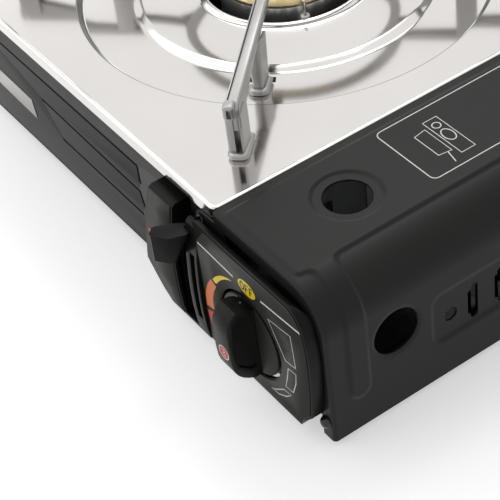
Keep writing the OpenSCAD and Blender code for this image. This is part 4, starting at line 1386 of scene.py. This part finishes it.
@dataclass
class PanelPrint(Print):
    """The print on the control panel, the lever's face and the knob."""

    knob: Pair = (30.0, -45.6)
    face: float = -8.0
    off: Pair = (32.4, -17.2)
    oval: Pair = (6.2, 4.0)
    letter: Pair = (1.25, 2.1)
    letter_left: Triple = (-3.2, -0.8, 2.3)
    bars: tuple[Plan, ...] = (((0, -2.2), (0, 2.1), (2, 2.1)), ((0, 0.1), (1.6, 0.1)))
    grip: Triple = (30.7, -22.18, -46.3)
    badge_radius: float = 3.3
    badge_back: float = 0.5
    badge_proud: float = 0.03
    spark: Plan = ((-0.9, 2.0), (0.7, 0.4), (-0.7, -0.4), (0.9, -2.0))
    dots: tuple[tuple[str, Body, Finish, Triple, float, float], ...] = (
        ("pointer_dot", Body.KNOB, POINTER_INK, (30.0, -10.25, -25.1), 0.25, 4),
        ("lever_dot", Body.CASE, RED_INK, (-43.7, -8.95, -35.5), 1.5, 0.6),
    )
    thin: float = 0.62
    bold: float = 0.95
    rule: float = 1.1
    crescents: tuple[tuple[str, Finish, tuple[Triple, ...]], ...] = (
        (
            "scale_yellow", YELLOW_INK,
            ((111, 26.2, 26.5), (128, 26.0, 27.8), (148, 26.0, 28.9), (151, 27.0, 28.9)),
        ),
        (
            "scale_orange", ORANGE_INK,
            ((155, 25.8, 30.0), (162, 26.2, 30.9), (180, 28.0, 33.6), (193, 29.0, 35.2)),
        ),
        ("scale_red", RED_INK, ((197, 29.6, 36.2), (211, 31.0, 38.1), (217, 33.0, 38.1))),
    )
    shapes: tuple[Plan, ...] = (
        ((46.3, -24.0), (62.0, -22.1), (63.1, -40.0), (55.8, -40.9)),
        ((57.2, -44.7), (62.7, -44.0), (61.8, -50.3), (58.9, -57.9), (53.5, -58.4), (55.8, -51.1)),
        ((41.3, -69.2), (44.9, -67.5), (51.5, -62.0), (56.8, -61.5), (53.0, -65.2), (47.1, -68.6)),
    )
    rules: tuple[Plan, ...] = (
        ((-3.6, -15.8), (22.7, -17.1)), ((42.3, -16.9), (69.5, -14.7)),
    )

    def at(self, y: float, points: Iterable[Point]) -> list[Triple]:
        """Stands X-Z points on an upright face."""
        return [(x, y, z) for x, z in points]

    def crescent(self, name: str, colour: Finish, stations: Sequence[Triple]) -> None:
        """Lays one part of the flame scale round the knob.

        Args:
            name: Name of the part.
            colour: Its ink.
            stations: Angle in degrees, inner radius and outer radius along it.
        """
        angles, *sides = (spaced([(place, 8) for place in row]) for row in zip(*stations))
        inner, outer = (
            [arc(self.knob, (r, r), a, a, 1)[0] for a, r in zip(angles, radii)] for radii in sides
        )
        outline = self.at(self.face, inner + outer[::-1])
        prism(outline, (0, -self.proud, 0)).done(name, Body.CASE, colour)

    def disc(
        self, name: str, body: Body, colour: Finish, place: Point, radius: float, by: float
    ) -> None:
        """Lays a round mark.

        Args:
            name: Name of the mark.
            body: Body that carries it.
            colour: Its ink.
            place: Middle of its back.
            radius: Its radius.
            by: How far it goes forward.
        """
        x, y, z = place
        outline = self.at(y, arc((x, z), (radius, radius), 0, 360, 28)[:-1])
        prism(outline, (0, -by, 0)).done(name, body, colour)

    def scale(self) -> None:
        """Makes the flame scale and the outlines round the knob."""
        for crescent in self.crescents:
            self.crescent(*crescent)
        outlines = [self.at(self.face, (*shape, shape[0])) for shape in self.shapes]
        self.line("scale_outlines", Body.CASE, outlines, self.thin, 1)
        rules = [self.at(self.face, rule) for rule in self.rules]
        self.line("panel_rules", Body.CASE, rules, self.rule, 1)

    def off_mark(self) -> None:
        """Makes the oval with its word."""
        oval = self.at(self.face, arc(self.off, self.oval, 0, 360, 36)[:-1])
        prism(oval, (0, -self.proud, 0)).done("off_oval", Body.CASE, YELLOW_INK)
        x, z = self.off
        first, *others = (x + left for left in self.letter_left)
        letters = [arc((first, z), self.letter, 0, 360, 20)]
        letters += [[(left + a, z + b) for a, b in bar] for left in others for bar in self.bars]
        paths = [self.at(self.face - self.proud, letter) for letter in letters]
        self.line("off_word", Body.CASE, paths, self.bold, 1, BLACK_INK)

    def badge(self) -> None:
        """Marks the grip's front: a red disc in a white ring with a small spark."""
        x, front, z = self.grip
        for vert in bpy.data.objects["knob_dressed"].data.vertices:
            vert.co.y = max(vert.co.y, ORIGIN.y + front * MM)
        back, by = (x, front + self.badge_back, z), self.badge_back + self.badge_proud
        self.disc("badge_disc", Body.KNOB, RED_INK, back, self.badge_radius, by)
        radius = self.badge_radius + 0.2
        ring = arc((x, z), (radius, radius), 0, 360, 28)
        paths = [ring, [(x + a, z + b) for a, b in self.spark]]
        paths = [self.at(front - self.proud, path) for path in paths]
        self.line("badge_ring", Body.KNOB, paths, self.fine, 1)

    def build(self) -> None:
        """Makes all marks."""
        self.scale()
        self.off_mark()
        self.badge()
        for dot in self.dots:
            self.disc(*dot)


@dataclass
class CoverPrint(Print):
    """The bare white frame and the line drawing on the cover."""

    level: float = 1.5
    border: Box = (8.5, 79.0, 48.5, 200.0)
    corner: float = 3.0
    drawing: tuple[Plan, ...] = (
        ((20.5, 97.0), (21.5, 90.5), (37.5, 90.5), (38.5, 97.0), (20.5, 97.0)),
        ((16.5, 99.0), (42.5, 99.0), (42.5, 106.5), (16.5, 106.5), (16.5, 99.0)),
        ((38.2, 95.0), (45.4, 93.4)),
    )
    ovals: tuple[tuple[Pair, Pair, int], ...] = (
        ((29.5, 102.7), (4.2, 2.6), 20), ((21.4, 102.7), (2.0, 2.0), 14),
    )

    def outline(self) -> list[Pair]:
        """Lays out the frame, a rectangle with round corners.

        Returns:
            Its closed line.
        """
        r = self.corner
        low_x, low_y, high_x, high_y = (
            place + side for place, side in zip(self.border, (r, r, -r, -r))
        )
        places = ((high_x, high_y), (low_x, high_y), (low_x, low_y), (high_x, low_y))
        points = []
        for turn, place in enumerate(places):
            points += arc(place, (r, r), 90 * turn, 90 * turn + 90, 5)
        return points + points[:1]

    def build(self) -> None:
        """Makes the frame and the drawing."""
        ovals = [arc(place, radii, 0, 360, steps) for place, radii, steps in self.ovals]
        paths = [self.outline(), *self.drawing, *ovals]
        lines = [[(x, y, self.level) for x, y in path] for path in paths]
        self.line("cover_drawing", Body.COVER, lines, self.fine, 2)


# ---- CAD nodes ----

DRESS: dict[str, tuple[Finish, float, int]] = {
    "body_shell": (PAINT, 0.3, 2), "base_plate": (PAINT, 0.25, 1),
    "control_panel": (PLASTIC, 0.5, 3), "knob": (GRIP, 0.7, 3), "lever_cap": (PLASTIC, 0.9, 3),
    "knob_faceplate": (FACE, 0.12, 1), "lever_faceplate": (FACE, 0.12, 1),
    "dial_plate": (FACE, 0.12, 1), "ignition_pad": (PLASTIC, 0.2, 2), "feet": (RUBBER, 0.6, 3),
    "trim_strip": (STRIP, 0.12, 1), "burner_body": (CAST, 0.5, 2), "burner_cap": (BRASS, 0.3, 2),
    "mixing_tube": (TUBE, 0.2, 1), "gas_nozzle": (BRASS, 0.2, 1), "gas_pipe": (COPPER, 0.1, 1),
    "regulator_body": (CAST, 0.4, 2), "regulator_cap": (CAST, 0.3, 2),
    "cartridge_seat": (CAST, 0.3, 2), "seat_gasket": (RUBBER, 0.3, 2),
    "igniter_body": (PALE, 0.4, 2), "igniter_plunger": (PLASTIC, 0.3, 1),
    "knob_cam": (PALE, 0.3, 2), "valve_spindle": (BRASS, 0.3, 1), "lock_lever": (ZINC, 0.3, 1),
    "lever_pin": (SCREW, 0.3, 1), "hinge_pins": (DARK_SCREW, 0.3, 2),
    "cover_catch": (DARK_SCREW, 0.1, 1), "spark_lead": (LEAD, 0.1, 1),
    "electrode_insulator": (CERAMIC, 0.3, 2), "electrode_rod": (ELECTRODE, 0.1, 1),
    "panel_screws": (SCREW, 0.3, 1), "base_screws": (SCREW, 0.3, 1),
    "regulator_screws": (SCREW, 0.3, 1),
}
PLAIN: dict[str, Finish] = {
    "partition_wall": ZINC, "burner_bracket": ZINC, "igniter_bracket": ZINC, "electrode_clip": ZINC,
    "lever_bracket": ZINC, "carriage": ZINC, "cartridge_cradle": ZINC, "heat_plate": STEEL,
}


def dress_nodes() -> None:
    """Gives every other CAD node its finish, and the shown ones softened edges."""
    for node, looks in DRESS.items():
        soften(node, *looks)
    for node, finish in PLAIN.items():
        coat(frame["nodes"][node].data, finish)


def main() -> None:
    """Builds the scene."""
    logging.basicConfig(level=logging.INFO, format="%(name)s: %(message)s")
    Studio().build()
    dress_nodes()
    pan = DripPan()
    pan.build()
    PanSupport(pan).build()
    Cover().build()
    PanelPrint().build()
    CoverPrint().build()


if __name__ == "__main__":
    main()
